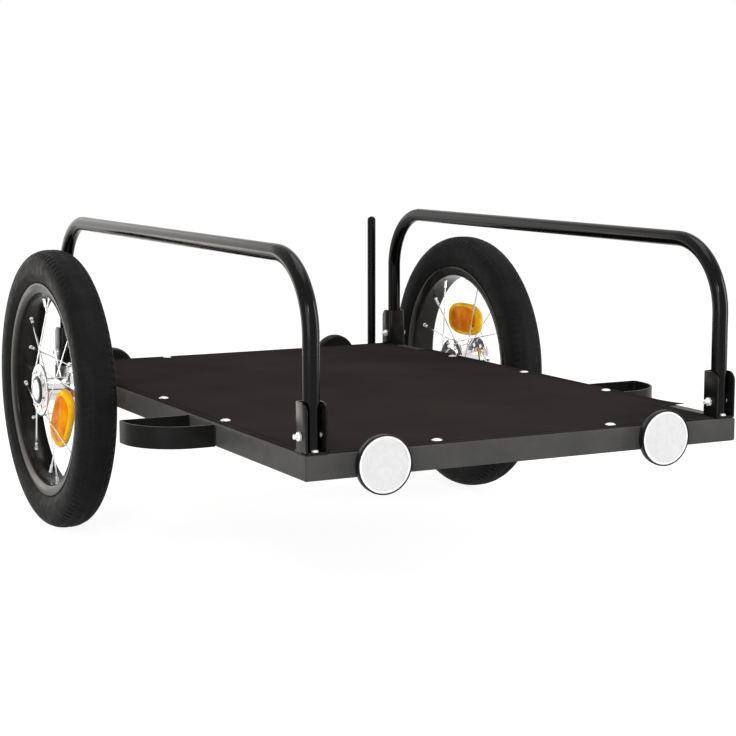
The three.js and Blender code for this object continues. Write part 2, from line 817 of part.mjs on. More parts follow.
// Hub shell with two flanges, a bearing seat at each end and a recess for the axle's head. Each spoke
// is seated in the face of its flange and runs to its nipple.
function lacedHub(turn) {
  const flangeIn = flangeOffset - flangeThickness / 2;
  const flangeOut = flangeOffset + flangeThickness / 2;
  const seatRadius = bearingRadius + fitGap;
  const seatFloor = bearingInnerEnd - fitGap;
  const boreRadius = bearingRadius - bearingShoulder;
  const recessRadius = axleHeadRadius + 2 * fitGap;
  const bossRadius = recessRadius + hubBossWall;
  const bossEnd = flangeOut + hubBoss;
  const neck = hubBarrelRadius + hubBossWall;
  let solid = turned(
    [
      [-flangeOut, seatRadius],
      [-flangeOut, flangeRadius],
      [-flangeIn, flangeRadius],
      [-flangeIn, neck],
      [-seatFloor, hubBarrelRadius],
      [seatFloor, hubBarrelRadius],
      [flangeIn, neck],
      [flangeIn, flangeRadius],
      [flangeOut, flangeRadius],
      [flangeOut, bossRadius],
      [bossEnd, bossRadius],
      [bossEnd, recessRadius],
      [recessFloor, recessRadius],
      [recessFloor, seatRadius],
      [seatFloor, seatRadius],
      [seatFloor, boreRadius],
      [-seatFloor, boreRadius],
      [-seatFloor, seatRadius],
    ],
    hubFacets,
  );
  for (const line of spokeLines(turn)) {
    solid = solid.add(bar(line.hub, line.end, spokeRadius, spokeFacets));
  }
  return solid;
}

function bearing() {
  const bore = axleRadius + fitGap;
  return turned(
    [
      [0, bore],
      [0, bearingRadius],
      [bearingWidth, bearingRadius],
      [bearingWidth, bore],
    ],
    axleFacets,
  );
}

// Hollow axle with a cup-shaped head for the release button. Its inner end stands past the frame.
function axle() {
  const inner = halfWidth - tubeSize - axleEndBeyondFrame - wheelX;
  const head = headBase + axleHeadDepth;
  return turned(
    [
      [inner, axleBoreRadius],
      [inner, axleRadius - axleChamfer],
      [inner + axleChamfer, axleRadius],
      [headBase, axleRadius],
      [headBase, axleHeadRadius],
      [head - axleChamfer, axleHeadRadius],
      [head, axleHeadRadius - axleChamfer],
      [head, buttonRadius + fitGap],
      [headBase + axleHeadFloor, buttonRadius + fitGap],
      [headBase + axleHeadFloor, axleBoreRadius],
    ],
    axleFacets,
  );
}

// Round button on the plunger that runs down the axle's bore.
function releaseButton() {
  const stemEnd = halfWidth - tubeSize - wheelX - axleEndBeyondFrame + buttonStemInset;
  const top = buttonBase + buttonThickness;
  return turned(
    [
      [stemEnd, 0],
      [stemEnd, buttonStemRadius],
      [buttonBase, buttonStemRadius],
      [buttonBase, buttonRadius],
      [top - axleChamfer, buttonRadius],
      [top, buttonRadius - axleChamfer],
      [top, 0],
    ],
    axleFacets,
  );
}

// The place where a spoke's line passes a radius, between the hub and the rim.
function spokeAtRadius(line, radius) {
  const run = line.rim.clone().sub(line.hub);
  const flat = (p, q) => p.y * q.y + p.z * q.z;
  const a = flat(run, run);
  const b = 2 * flat(run, line.hub);
  const c = flat(line.hub, line.hub) - radius * radius;
  const share = (Math.sqrt(b * b - 4 * a * c) - b) / (2 * a);
  return line.hub.clone().addScaledVector(run, share);
}

// Rounded reflector between the spokes. Each of its posts reaches the nearest free spoke on the side
// that the post faces.
function spokeReflector(turn, { angle, radius, offset, tilt, postFaces }) {
  const half = spokeReflectorThickness / 2;
  const outline = roundedRectangle(spokeReflectorLength, spokeReflectorHeight, spokeReflectorCorner);
  const plate = new THREE.ExtrudeGeometry(outline, {
    depth: spokeReflectorThickness,
    bevelEnabled: false,
    curveSegments: cornerSteps,
  });
  plate.translate(0, 0, -half);
  plate.rotateY(Math.PI / 2);
  plate.rotateZ(tilt);
  plate.translate(offset, radius, 0);
  plate.rotateX(angle);
  let solid = solidFrom(plate);
  const middle = around(offset, radius, angle);
  const places = spokeLines(turn).map((line) => spokeAtRadius(line, radius));
  places.sort((a, b) => middle.distanceTo(a) - middle.distanceTo(b));
  for (const face of postFaces) {
    const nearest = places.find((place) => Math.sign(place.x) === face);
    places.splice(places.indexOf(nearest), 1);
    const end = nearest.clone().setX(nearest.x - face * (spokeRadius + 2 * fitGap));
    solid = solid.add(bar(nearest.clone().setX(offset), end, clipPostRadius, hexFacets));
  }
  return solid;
}

// One wheel and its axle, drawn for the right side. The left one is the same wheel turned about.
function addWheel(parent, side, turn, valveSpace, reflector) {
  const wheel = new THREE.Group();
  wheel.position.set(side === "left" ? -wheelX : wheelX, axleY, axleHeight);
  wheel.rotation.z = side === "left" ? Math.PI : 0;
  parent.add(wheel);
  const valveAngle = turn + (2 * Math.PI * (valveSpace + 1 / 2)) / spokeCount;
  addPiece(wheel, `${side}_tyre`, tyre(), tyreRubber);
  addPiece(wheel, `${side}_inner_tube`, innerTube(valveAngle), tyreRubber);
  addPiece(wheel, `${side}_rim`, rim(turn, valveAngle), rimPaint);
  addPiece(wheel, `${side}_hub_and_spokes`, lacedHub(turn), chrome);
  const ring = bearing();
  addPiece(wheel, `${side}_outer_bearing`, ring, chrome, [bearingInnerEnd, 0, 0]);
  addPiece(wheel, `${side}_inner_bearing`, ring, chrome, [-bearingOuterEnd, 0, 0]);
  addPiece(wheel, `${side}_spoke_reflector`, spokeReflector(turn, reflector), amberLens);
  addPiece(wheel, `${side}_axle`, axle(), blackSteel);
  addPiece(wheel, `${side}_release_button`, releaseButton(), chrome);
}

addFrame(trailer);
addPiece(trailer, "deck_cloth", deckCloth(), clothBlack);
addStuds(trailer);
addSideRails(trailer);
addGuards(trailer);
addEndReflectors(trailer);
addFlagPole(trailer);

addWheel(trailer, "left", leftWheelTurn, leftValveSpace, {
  angle: leftReflectorAngle,
  radius: leftReflectorShare * beadSeatRadius,
  offset: leftReflectorOffset,
  tilt: leftReflectorTilt,
  postFaces: [1, 1],
});
addWheel(trailer, "right", rightWheelTurn, rightValveSpace, {
  angle: rightReflectorAngle,
  radius: rightReflectorShare * beadSeatRadius,
  offset: 0,
  tilt: 0,
  postFaces: [-1, 1],
});

export default trailer;
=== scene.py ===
# %% [markdown]
# # A flat cargo trailer for a bicycle
#
# This notebook dresses a finished CAD model of a small cargo trailer. The model says where each tube,
# bracket and wheel is, in metres, with +Z up, +Y towards the rear end and +X to the right. We build
# finer pieces around those places and give each one a finish. The model's box is kept.

# %% Load the CAD model
import math

import bmesh
import bpy
from mathutils import Matrix, Vector, noise


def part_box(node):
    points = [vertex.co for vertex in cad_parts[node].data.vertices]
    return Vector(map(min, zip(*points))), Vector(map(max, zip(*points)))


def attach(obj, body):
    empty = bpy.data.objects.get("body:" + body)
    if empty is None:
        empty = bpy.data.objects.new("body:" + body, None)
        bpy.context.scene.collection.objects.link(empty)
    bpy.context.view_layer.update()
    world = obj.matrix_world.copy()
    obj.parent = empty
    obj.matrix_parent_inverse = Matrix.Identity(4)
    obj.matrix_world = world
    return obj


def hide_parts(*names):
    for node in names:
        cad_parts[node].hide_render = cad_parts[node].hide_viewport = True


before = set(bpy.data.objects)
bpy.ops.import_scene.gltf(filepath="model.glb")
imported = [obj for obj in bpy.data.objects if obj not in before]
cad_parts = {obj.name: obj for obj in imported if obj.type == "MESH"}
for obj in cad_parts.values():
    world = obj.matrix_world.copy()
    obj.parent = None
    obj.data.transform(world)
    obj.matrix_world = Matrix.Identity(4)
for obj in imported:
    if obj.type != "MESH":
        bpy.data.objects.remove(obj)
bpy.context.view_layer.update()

# %% [markdown]
# ## Places taken from the model
#
# Everything hangs on a few boxes: the front tube gives the frame's outer corners, the tyres the wheels'
# centres, and the brackets the feet of the side rails. A value that is typed is a real size in metres
# that the boxes can't tell, such as a wall or a bend.

# %% Read the main places
SEAM = 0.0003
MITRE_SEAM = SEAM / math.sqrt(2)
TINY = 1e-6
SIDES = (("left", -1), ("right", 1))
ENDS = (("front", -1), ("rear", 1))


def middle_of(node):
    low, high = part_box(node)
    return (low + high) / 2


def size_of(node):
    low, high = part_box(node)
    return high - low


front_low, front_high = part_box("front_cross_tube")
TUBE = front_high.z - front_low.z
HALF_WIDTH = front_high.x + MITRE_SEAM
INNER_X = HALF_WIDTH - TUBE
FRONT_Y = front_low.y
REAR_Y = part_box("rear_cross_tube")[1].y
FRAME_TOP = front_high.z
FRAME_BOTTOM = front_low.z
TUBE_Z = (FRAME_TOP + FRAME_BOTTOM) / 2
FRAME_LENGTH = REAR_Y - FRONT_Y
WHEEL_CENTRE = {side: middle_of(f"{side}_tyre") for side, _ in SIDES}
TYRE_RADIUS = size_of("left_tyre").z / 2
TYRE_HALF = size_of("left_tyre").x / 2
print("frame", HALF_WIDTH * 2, FRAME_LENGTH, "wheel centres", WHEEL_CENTRE)

# %% [markdown]
# ## The camera
#
# The trailer is seen from its front left corner, from a little above the side rails, through a long
# lens. The camera is turned and pitched by plain angles, and its lens isn't shifted.

# %% Camera
CAMERA_PLACE = (-1.167, -2.3019, 0.5876)
CAMERA_TURN = 0.4769
CAMERA_PITCH = 0.1318
LENS_MM = 90.24
SENSOR_MM = 36.0

camera_data = bpy.data.cameras.new("camera")
camera_data.lens = LENS_MM
camera_data.sensor_width = SENSOR_MM
camera = bpy.data.objects.new("camera", camera_data)
camera.location = CAMERA_PLACE
camera.rotation_euler = (math.pi / 2 - CAMERA_PITCH, 0, -CAMERA_TURN)
bpy.context.scene.collection.objects.link(camera)
bpy.context.scene.camera = camera
print("camera at", CAMERA_PLACE, "lens", LENS_MM)

# %% [markdown]
# ## The studio
#
# Black tubes need large soft lamps, because what we see on gloss paint is the lamps' reflection. The
# world is white for the camera, for reflections and through glass, and a plain grey for the light that
# falls on the trailer. The floor is white too and keeps a faint shadow.

# %% Floor, world and lamps
FLOOR_SIZE = 24.0
FLOOR_DROP = 0.0004
WHITE = (1, 1, 1, 1)
WORLD_LIGHT = 0.42
FLOOR_GLOW = 0.9
FLOOR_SHADE = (0.3, 0.3, 0.3, 1)
FLOOR_PAINT = (0.86, 0.86, 0.86, 1)


def wired(tree, kind, *sources, **values):
    """Adds a node, sets its values and links the sources to its first sockets in order."""
    node = tree.nodes.new("ShaderNode" + kind)
    for socket, source in zip(node.inputs, sources):
        tree.links.new(source, socket)
    for key, value in values.items():
        if hasattr(node, key):
            setattr(node, key, value)
        else:
            node.inputs[key.replace("_", " ")].default_value = value
    return node


def either(tree, first, second):
    return wired(tree, "Math", first, second, operation="MAXIMUM").outputs[0]


def by_ray(tree, light, seen):
    """One shader for light that falls on things, one for what camera, gloss and glass see."""
    ray = wired(tree, "LightPath").outputs
    direct = either(tree, ray["Is Camera Ray"], ray["Is Glossy Ray"])
    looking = either(tree, direct, ray["Is Transmission Ray"])
    return wired(tree, "MixShader", looking, light.outputs[0], seen.outputs[0]).outputs[0]


world = bpy.data.worlds.new("studio")
world.use_nodes = True
bpy.context.scene.world = world
tree = world.node_tree
tree.nodes.clear()
light = wired(tree, "Background", Color=WHITE, Strength=WORLD_LIGHT)
seen = wired(tree, "Background", Color=WHITE, Strength=1.0)
wired(tree, "OutputWorld", by_ray(tree, light, seen))

bpy.ops.mesh.primitive_plane_add(size=FLOOR_SIZE, location=(0, 0, -FLOOR_DROP))
floor = bpy.context.object
floor.name = "floor"
floor_white = bpy.data.materials.new("floor_white")
floor_white.use_nodes = True
tree = floor_white.node_tree
tree.nodes.clear()
light = wired(tree, "BsdfDiffuse", Color=FLOOR_PAINT)
shaded = wired(tree, "BsdfDiffuse", Color=FLOOR_SHADE)
glow = wired(tree, "Emission", Color=WHITE, Strength=FLOOR_GLOW)
seen = wired(tree, "AddShader", shaded.outputs[0], glow.outputs[0])
wired(tree, "OutputMaterial", by_ray(tree, light, seen))
floor.data.materials.append(floor_white)


def soft_lamp(name, place, aim, width, height, watts, colour=(1, 1, 1)):
    data = bpy.data.lights.new(name, "AREA")
    data.color = colour
    data.shape = "RECTANGLE"
    data.size = width
    data.size_y = height
    data.energy = watts
    lamp = bpy.data.objects.new(name, data)
    lamp.location = place
    lamp.rotation_euler = (Vector(aim) - Vector(place)).to_track_quat("-Z", "Y").to_euler()
    bpy.context.scene.collection.objects.link(lamp)


MIDDLE = (0, 0, 0.2)
soft_lamp("top_lamp", (0.2, -0.2, 2.6), MIDDLE, 2.0, 1.4, 30)
soft_lamp("rear_lamp", (-0.75, 2.0, 0.76), (-0.3, 0, 0.4), 1.3, 1.5, 7, (1.0, 0.96, 0.92))
soft_lamp("low_lamp", (-1.02, 1.3, 0.22), (-0.3, -0.3, 0.22), 0.5, 0.4, 1.6, (1.0, 0.94, 0.86))
soft_lamp("right_lamp", (2.37, -1.5, 0.85), MIDDLE, 0.8, 1.7, 42)
soft_lamp("left_lamp", (-2.58, -2.2, 0.9), MIDDLE, 1.8, 1.7, 46)
soft_lamp("key_lamp", (-2.0, -3.2, 2.1), MIDDLE, 0.5, 0.5, 22)
bpy.context.scene.view_settings.view_transform = "Standard"

# %% [markdown]
# ## Finishes
#
# Each finish starts from Principled BSDF. Noise as coarse as the real unevenness gives it patches of
# tone and gloss, and bump gives it relief. Texture coordinates come from the object, so a finish turns
# with its wheel.

# %% Helpers for finishes
NOISE_RANGE = (0.3, 0.7)
TONE_STOPS = (0.35, 0.65)
TONE_DETAIL = 3.0
WAVE_SPAN = 20


def object_place(tree):
    return wired(tree, "TexCoord").outputs["Object"]


def noise_of(tree, per_metre, detail=2.0):
    return wired(tree, "TexNoise", object_place(tree), Scale=per_metre, Detail=detail).outputs["Fac"]


def bands(tree, axis, pitch):
    """Ridges across an axis, one each pitch metres."""
    scale = math.tau / (WAVE_SPAN * pitch)
    wave = wired(tree, "TexWave", object_place(tree), bands_direction=axis, Scale=scale)
    return wave.outputs["Fac"]


def prisms(tree, per_metre):
    cells = wired(tree, "TexVoronoi", object_place(tree), Scale=per_metre, Randomness=0.0)
    return cells.outputs["Distance"]


def add_bump(tree, height, strength, depth):
    """Adds relief to a finish, on top of any that it already has."""
    bump = wired(tree, "Bump", Strength=strength, Distance=depth)
    normal = tree.nodes["Principled BSDF"].inputs["Normal"]
    if normal.links:
        tree.links.new(normal.links[0].from_socket, bump.inputs["Normal"])
    tree.links.new(height, bump.inputs["Height"])
    tree.links.new(bump.outputs["Normal"], normal)


def new_finish(name, slot, tones=None, gloss=None, grain=None, **sockets):
    """A finish. Tones are two colours, gloss two roughnesses, each followed by its noise per metre.

    Grain is noise per metre, strength and depth of a fine relief. The rest sets sockets by name.
    """
    finish = bpy.data.materials.new(name)
    finish.use_nodes = True
    tree = finish.node_tree
    shader = tree.nodes["Principled BSDF"]
    for socket, value in sockets.items():
        shader.inputs[socket.replace("_", " ")].default_value = value
    if tones:
        ramp = wired(tree, "ValToRGB", noise_of(tree, tones[2], TONE_DETAIL))
        for stop, position, colour in zip(ramp.color_ramp.elements, TONE_STOPS, tones):
            stop.position = position
            stop.color = (*colour, 1)
        tree.links.new(ramp.outputs["Color"], shader.inputs["Base Color"])
    if gloss:
        low, high = NOISE_RANGE
        spread = wired(tree, "MapRange", noise_of(tree, gloss[2]), From_Min=low, From_Max=high)
        spread.inputs["To Min"].default_value = gloss[0]
        spread.inputs["To Max"].default_value = gloss[1]
        tree.links.new(spread.outputs["Result"], shader.inputs["Roughness"])
    if grain:
        add_bump(tree, noise_of(tree, grain[0]), grain[1], grain[2])
    return finish


print("helpers ready")

# %% [markdown]
# ### Paint
#
# The frame has a satin powder coat of dark grey: fine orange peel and a slightly uneven gloss. The
# wheel guards are a blacker satin, and the brackets are smoother. The side rails are dipped in a deep
# gloss that shows the lamps as long clear streaks. The rims carry a similar black.

# %% Paint finishes
frame_paint = new_finish(
    "frame_powder_coat", "frame_paint", tones=((0.057, 0.056, 0.055), (0.067, 0.066, 0.064), 35),
    gloss=(0.38, 0.52, 60), grain=(900, 0.12, 0.0003), Specular_IOR_Level=0.06,
)
guard_paint = new_finish(
    "guard_satin", "frame_paint", tones=((0.0065, 0.0063, 0.006), (0.0095, 0.0093, 0.009), 30),
    gloss=(0.24, 0.36, 55), grain=(900, 0.1, 0.0003), Specular_IOR_Level=0.07,
)
bracket_paint = new_finish(
    "bracket_gloss", "frame_paint", tones=((0.006, 0.0058, 0.0055), (0.0085, 0.0082, 0.0078), 60),
    gloss=(0.16, 0.26, 70), grain=(700, 0.07, 0.0003), Specular_IOR_Level=0.12,
)
rail_paint = new_finish(
    "rail_gloss", "rail_paint", tones=((0.0022, 0.0021, 0.0019), (0.003, 0.0028, 0.0026), 20),
    gloss=(0.11, 0.19, 40), grain=(350, 0.05, 0.0004), Specular_IOR_Level=0.12,
)
rim_paint = new_finish(
    "rim_gloss", "rim_paint", tones=((0.008, 0.0073, 0.0067), (0.013, 0.0118, 0.0107), 30),
    gloss=(0.12, 0.22, 50), grain=(500, 0.05, 0.0003), Specular_IOR_Level=0.12,
)
print("paint:", frame_paint.name, guard_paint.name, bracket_paint.name, rail_paint.name)

# %% [markdown]
# ### Metals
#
# The hubs and spokes are bright plated steel with a pale bloom, and they mirror the white studio. The
# bolts and studs are zinc plated, a little rougher. The axle's head is blackened steel.

# %% Metal finishes
chrome = new_finish(
    "bright_chrome", "chrome", gloss=(0.06, 0.16, 180), grain=(500, 0.03, 0.0002),
    Base_Color=(0.77, 0.77, 0.775, 1), Metallic=0.9,
)
zinc = new_finish(
    "zinc_plate", "zinc", tones=((0.88, 0.885, 0.89), (0.96, 0.96, 0.965), 320), gloss=(0.2, 0.36, 260),
    grain=(1200, 0.08, 0.0002), Metallic=0.4,
)
ground_steel = new_finish(
    "ground_steel", "ground_steel", gloss=(0.18, 0.34, 300), Base_Color=(0.7, 0.7, 0.71, 1), Metallic=0.5,
)
add_bump(ground_steel.node_tree, bands(ground_steel.node_tree, "X", 0.0008), 0.1, 0.0001)
black_steel = new_finish(
    "black_oxide", "black_steel", gloss=(0.25, 0.42, 150), grain=(900, 0.08, 0.0002),
    Base_Color=(0.02, 0.02, 0.021, 1), Metallic=0.6,
)
print("metals:", chrome.name, zinc.name, ground_steel.name, black_steel.name)

# %% [markdown]
# ### Rubber and plastics
#
# Tyre rubber is matte with a faint grey bloom. The reflectors' lenses have rows of small prisms under a
# smooth skin, so their bump is a field of cells and their coat stays glossy.

# %% Rubber and plastic finishes
PRISM_DEPTH = 0.0008

tyre_rubber = new_finish(
    "tyre_rubber", "tyre", tones=((0.009, 0.009, 0.009), (0.0125, 0.0125, 0.0125), 25),
    gloss=(0.42, 0.6, 90), grain=(1400, 0.12, 0.0002), Specular_IOR_Level=0.03,
)
tube_rubber = new_finish(
    "tube_rubber", "tube_rubber", gloss=(0.42, 0.6, 120), grain=(900, 0.1, 0.0002),
    Base_Color=(0.011, 0.011, 0.011, 1),
)
black_plastic = new_finish(
    "black_plastic", "black_plastic", tones=((0.006, 0.006, 0.0062), (0.0085, 0.0085, 0.0088), 60),
    gloss=(0.3, 0.46, 140), grain=(1500, 0.12, 0.0002), Specular_IOR_Level=0.12,
)
pole_gloss = new_finish(
    "pole_gloss", "pole_plastic", gloss=(0.18, 0.3, 80), Base_Color=(0.0045, 0.0043, 0.0041, 1),
    Specular_IOR_Level=0.07,
)
add_bump(pole_gloss.node_tree, bands(pole_gloss.node_tree, "Z", 0.004), 0.03, 0.0002)

white_lens = new_finish(
    "white_lens", "white_lens", tones=((0.64, 0.64, 0.645), (0.68, 0.68, 0.685), 160), Roughness=0.22
)
add_bump(white_lens.node_tree, prisms(white_lens.node_tree, 420), 0.05, PRISM_DEPTH)
white_band = new_finish(
    "white_band", "white_lens", gloss=(0.15, 0.28, 200), Base_Color=(0.93, 0.93, 0.93, 1)
)
amber_lens = new_finish(
    "amber_lens", "amber_lens", tones=((0.8, 0.16, 0.001), (0.92, 0.36, 0.003), 45), Roughness=0.2,
    Specular_IOR_Level=0.03,
)
add_bump(amber_lens.node_tree, prisms(amber_lens.node_tree, 300), 0.2, PRISM_DEPTH)
amber_rim = new_finish(
    "amber_rim", "amber_lens", tones=((0.96, 0.44, 0.004), (1.0, 0.6, 0.01), 70), gloss=(0.12, 0.2, 160),
    Specular_IOR_Level=0.06,
)
print("plastics:", black_plastic.name, white_lens.name, amber_lens.name)

# %% [markdown]
# ### Deck cloth
#
# The deck is a coated woven cloth. Two sets of bands crossed at right angles make the weave, and slow
# noise paints broad soft patches of lighter and darker colour, painted shade for the soft shading of the
# slack cloth.

# %% Cloth finish
WEAVE_PITCH = 0.0016
# The tones' broad patches, seven per metre, are painted shade for the soft shading of the slack cloth.
deck_weave = new_finish(
    "deck_weave", "deck_cloth", tones=((0.0252, 0.0228, 0.0219), (0.031, 0.0272, 0.026), 7),
    gloss=(0.66, 0.85, 30), Specular_IOR_Level=0.0,
)
tree = deck_weave.node_tree
crossing = either(tree, bands(tree, "X", WEAVE_PITCH), bands(tree, "Y", WEAVE_PITCH))
add_bump(tree, crossing, 0.22, 0.0003)
add_bump(tree, noise_of(tree, 60, 4.0), 0.1, 0.001)
hem_thread = new_finish(
    "hem_thread", "deck_cloth", gloss=(0.6, 0.8, 400), Base_Color=(0.028, 0.025, 0.024, 1),
    Specular_IOR_Level=0.0,
)
print("cloth:", deck_weave.name, hem_thread.name)

# %% [markdown]
# ## Helpers for shapes
#
# Three ways of making a mesh cover nearly the whole trailer: turn a profile round an axis, sweep a
# section along a path, and raise a flat outline. Each returns points and faces to place and to join.


# %% Turned, swept and raised shapes
def turns(steps):
    return [math.tau * i / steps for i in range(steps)]


def around(x, radius, angle):
    return Vector((x, radius * math.cos(angle), radius * math.sin(angle)))


def turned(profile, steps, ring=False):
    """A profile of (along, radius) points turned round the X axis, closed on itself for a ring."""
    points = []
    faces = []
    rows = []
    for along, radius in profile:
        first = len(points)
        if radius == 0:
            points.append(Vector((along, 0, 0)))
            rows.append([first] * steps)
            continue
        points += [around(along, radius, angle) for angle in turns(steps)]
        rows.append(list(range(first, first + steps)))
    if ring:
        rows.append(rows[0])
    for row, after in zip(rows, rows[1:]):
        for i in range(steps):
            j = (i + 1) % steps
            corners = [row[i], row[j], after[j], after[i]]
            face = [c for k, c in enumerate(corners) if c != corners[k - 1]]
            if len(face) > 2:
                faces.append(face)
    return points, faces


def lofted(rings):
    """Rings of equally many points, skinned one after another, with both ends closed."""
    count = len(rings[0])
    points = [Vector(p) for ring in rings for p in ring]
    last = len(points) - count
    faces = []
    for i in range(0, last, count):
        for j in range(count):
            k = (j + 1) % count
            faces.append([i + j, i + k, i + count + k, i + count + j])
    faces += [list(range(count))[::-1], list(range(last, last + count))]
    return points, faces


def swept(path, section):
    """A flat section carried along the path without twisting."""
    path = [Vector(p) for p in path]
    side = (path[1] - path[0]).normalized().orthogonal()
    rings = []
    for i, place in enumerate(path):
        before = path[max(i - 1, 0)]
        after = path[min(i + 1, len(path) - 1)]
        tangent = (after - before).normalized()
        side = (side - tangent * side.dot(tangent)).normalized()
        up = tangent.cross(side)
        rings.append([place + side * x + up * y for x, y in section])
    return lofted(rings)


def raised(outline, low, high):
    """A flat outline of (x, y) points raised from low to high."""
    return lofted([[(x, y, z) for x, y in outline] for z in (low, high)])


def round_section(radius, steps):
    return [(radius * math.cos(a), radius * math.sin(a)) for a in turns(steps)]


def bar_between(start, stop, radius, steps=12):
    return swept([start, stop], round_section(radius, steps))


def arc(cx, cy, radius, start, stop, steps):
    angles = [start + (stop - start) * i / steps for i in range(steps + 1)]
    return [(cx + radius * math.cos(a), cy + radius * math.sin(a)) for a in angles]


def mirrored(profile):
    return [(-along, radius) for along, radius in profile]


def placed(shape, matrix):
    points, faces = shape
    return [matrix @ p for p in points], faces


def joined(*shapes):
    points = []
    faces = []
    for more_points, more_faces in shapes:
        first = len(points)
        points += more_points
        faces += [[c + first for c in face] for face in more_faces]
    return points, faces


AIM = {
    "+Y": Matrix.Rotation(math.pi / 2, 4, "Z"),
    "-Y": Matrix.Rotation(-math.pi / 2, 4, "Z"),
    "+Z": Matrix.Rotation(-math.pi / 2, 4, "Y"),
}


def aimed(shape, direction, place):
    """Points a shape that was made along +X another way, and moves it to its place."""
    return placed(shape, Matrix.Translation(Vector(place)) @ AIM[direction])


print("shape helpers ready")

# %% [markdown]
# A piece is a mesh with its finish and the body that it rides on, and the CAD node that it stands
# for is hidden. Edges sharper than a set angle stay sharp, and a bevel gives them the small
# radius that catches light.


# %% Make a piece
SHARP = 35
EDGE_SEGMENTS = 2


def make_mesh(name, shape):
    points, faces = shape
    mesh = bpy.data.meshes.new(name)
    mesh.from_pydata([tuple(p) for p in points], [], faces)
    made = bmesh.new()
    made.from_mesh(mesh)
    bmesh.ops.recalc_face_normals(made, faces=made.faces)
    made.to_mesh(mesh)
    made.free()
    return mesh


def round_edges(piece, width, sharp, harden=True):
    edge = piece.modifiers.new("edge", "BEVEL")
    edge.width = width
    edge.segments = EDGE_SEGMENTS
    edge.limit_method = "ANGLE"
    edge.angle_limit = math.radians(sharp)
    edge.harden_normals = harden


def thicken(piece, thickness, offset):
    layer = piece.modifiers.new("thickness", "SOLIDIFY")
    layer.thickness = thickness
    layer.offset = offset


def make_piece(name, shape, finish, stands_for=None, body="frame", slot=None, sharp=SHARP, bevel=0.0):
    mesh = make_mesh(name, shape)
    mesh.shade_smooth()
    mesh.set_sharp_from_angle(angle=math.radians(sharp))
    mesh.materials.append(finish)
    piece = bpy.data.objects.new(name, mesh)
    bpy.context.scene.collection.objects.link(piece)
    if bevel:
        round_edges(piece, bevel, sharp)
    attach(piece, body)
    if stands_for:
        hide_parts(stands_for)
    return piece


def dress_node(node, finish):
    """Gives a CAD node that stays in view its finish."""
    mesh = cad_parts[node].data
    mesh.materials.clear()
    mesh.materials.append(finish)


# %% [markdown]
# ## Frame tubes
#
# The frame is welded from square tube with rounded corners, mitred at the frame's corners. Each tube is
# two rounded squares slid to the mitre and skinned. The axle sockets are turned pieces that go through
# the side tubes, whose walls are drilled for them, and a weld bead closes each joint.

# %% Square tubes
CORNER = 0.003
CORNER_STEPS = 4
WELD = 0.0016
WELD_STEPS = 10
SOCKET_STEPS = 48
SOCKET_BORE = 0.0063
SOCKET_RADIUS = 0.0095
SOCKET_EDGE = 0.0006
COLLAR_RADIUS = 0.013
COLLAR_RISE = 0.004
COLLAR_SINK = 0.002


def rounded_square(size):
    half = size / 2 - CORNER
    outline = []
    for quarter, (sx, sy) in enumerate([(1, 1), (-1, 1), (-1, -1), (1, -1)]):
        start = quarter * math.pi / 2
        outline += arc(sx * half, sy * half, CORNER, start, start + math.pi / 2, CORNER_STEPS)
    return outline


def mitred_tube(length, inner_sign):
    """A tube along Y, centred, whose ends are cut back on the side that faces into the frame."""
    rings = []
    for end in (-1, 1):
        reach = length / 2 - TUBE / 2 - MITRE_SEAM
        rings.append([(x, end * (reach - inner_sign * x), z) for x, z in rounded_square(TUBE)])
    return lofted(rings)


def drilled(shape, centre, radius):
    """Bores a lined round hole through a tube's two flat sides that lie across X."""
    points = list(shape[0])
    faces = []
    rings = []
    for face in shape[1]:
        corners = [points[i] for i in face]
        xs = [corner.x for corner in corners]
        if len(face) != 4 or max(xs) - min(xs) > TINY:
            faces.append(face)
            continue
        first = len(points)
        middle = Vector((xs[0], centre.y, centre.z))
        points += [middle + around(0, radius, angle) for angle in turns(SOCKET_STEPS)]
        turn = [math.atan2(c.z - centre.z, c.y - centre.y) / math.tau for c in corners]
        start, stop = (round(turn[i] * SOCKET_STEPS) for i in (2, 0))
        across, along = corners[1] - corners[0], corners[2] - corners[1]
        step = -1 if across.y * along.z - across.z * along.y > 0 else 1
        below = (stop - start) * step % SOCKET_STEPS
        above = SOCKET_STEPS - below
        near = [first + (start + step * i) % SOCKET_STEPS for i in range(below + 1)]
        far = [first + (stop + step * i) % SOCKET_STEPS for i in range(above + 1)]
        faces += [face[:3] + near, [face[2], face[3], face[0]] + far]
        rings.append((first, step))
    (first, step), (second, _) = rings
    for i in range(SOCKET_STEPS):
        j = (i + step) % SOCKET_STEPS
        faces.append([first + j, first + i, second + i, second + j])
    return points, faces


def bead(path):
    """A weld bead is a thin round bar."""
    return swept(path, round_section(WELD, WELD_STEPS))


def upright_bead(x, y, low, high):
    return bead([(x, y, low + CORNER), (x, y, high - CORNER)])


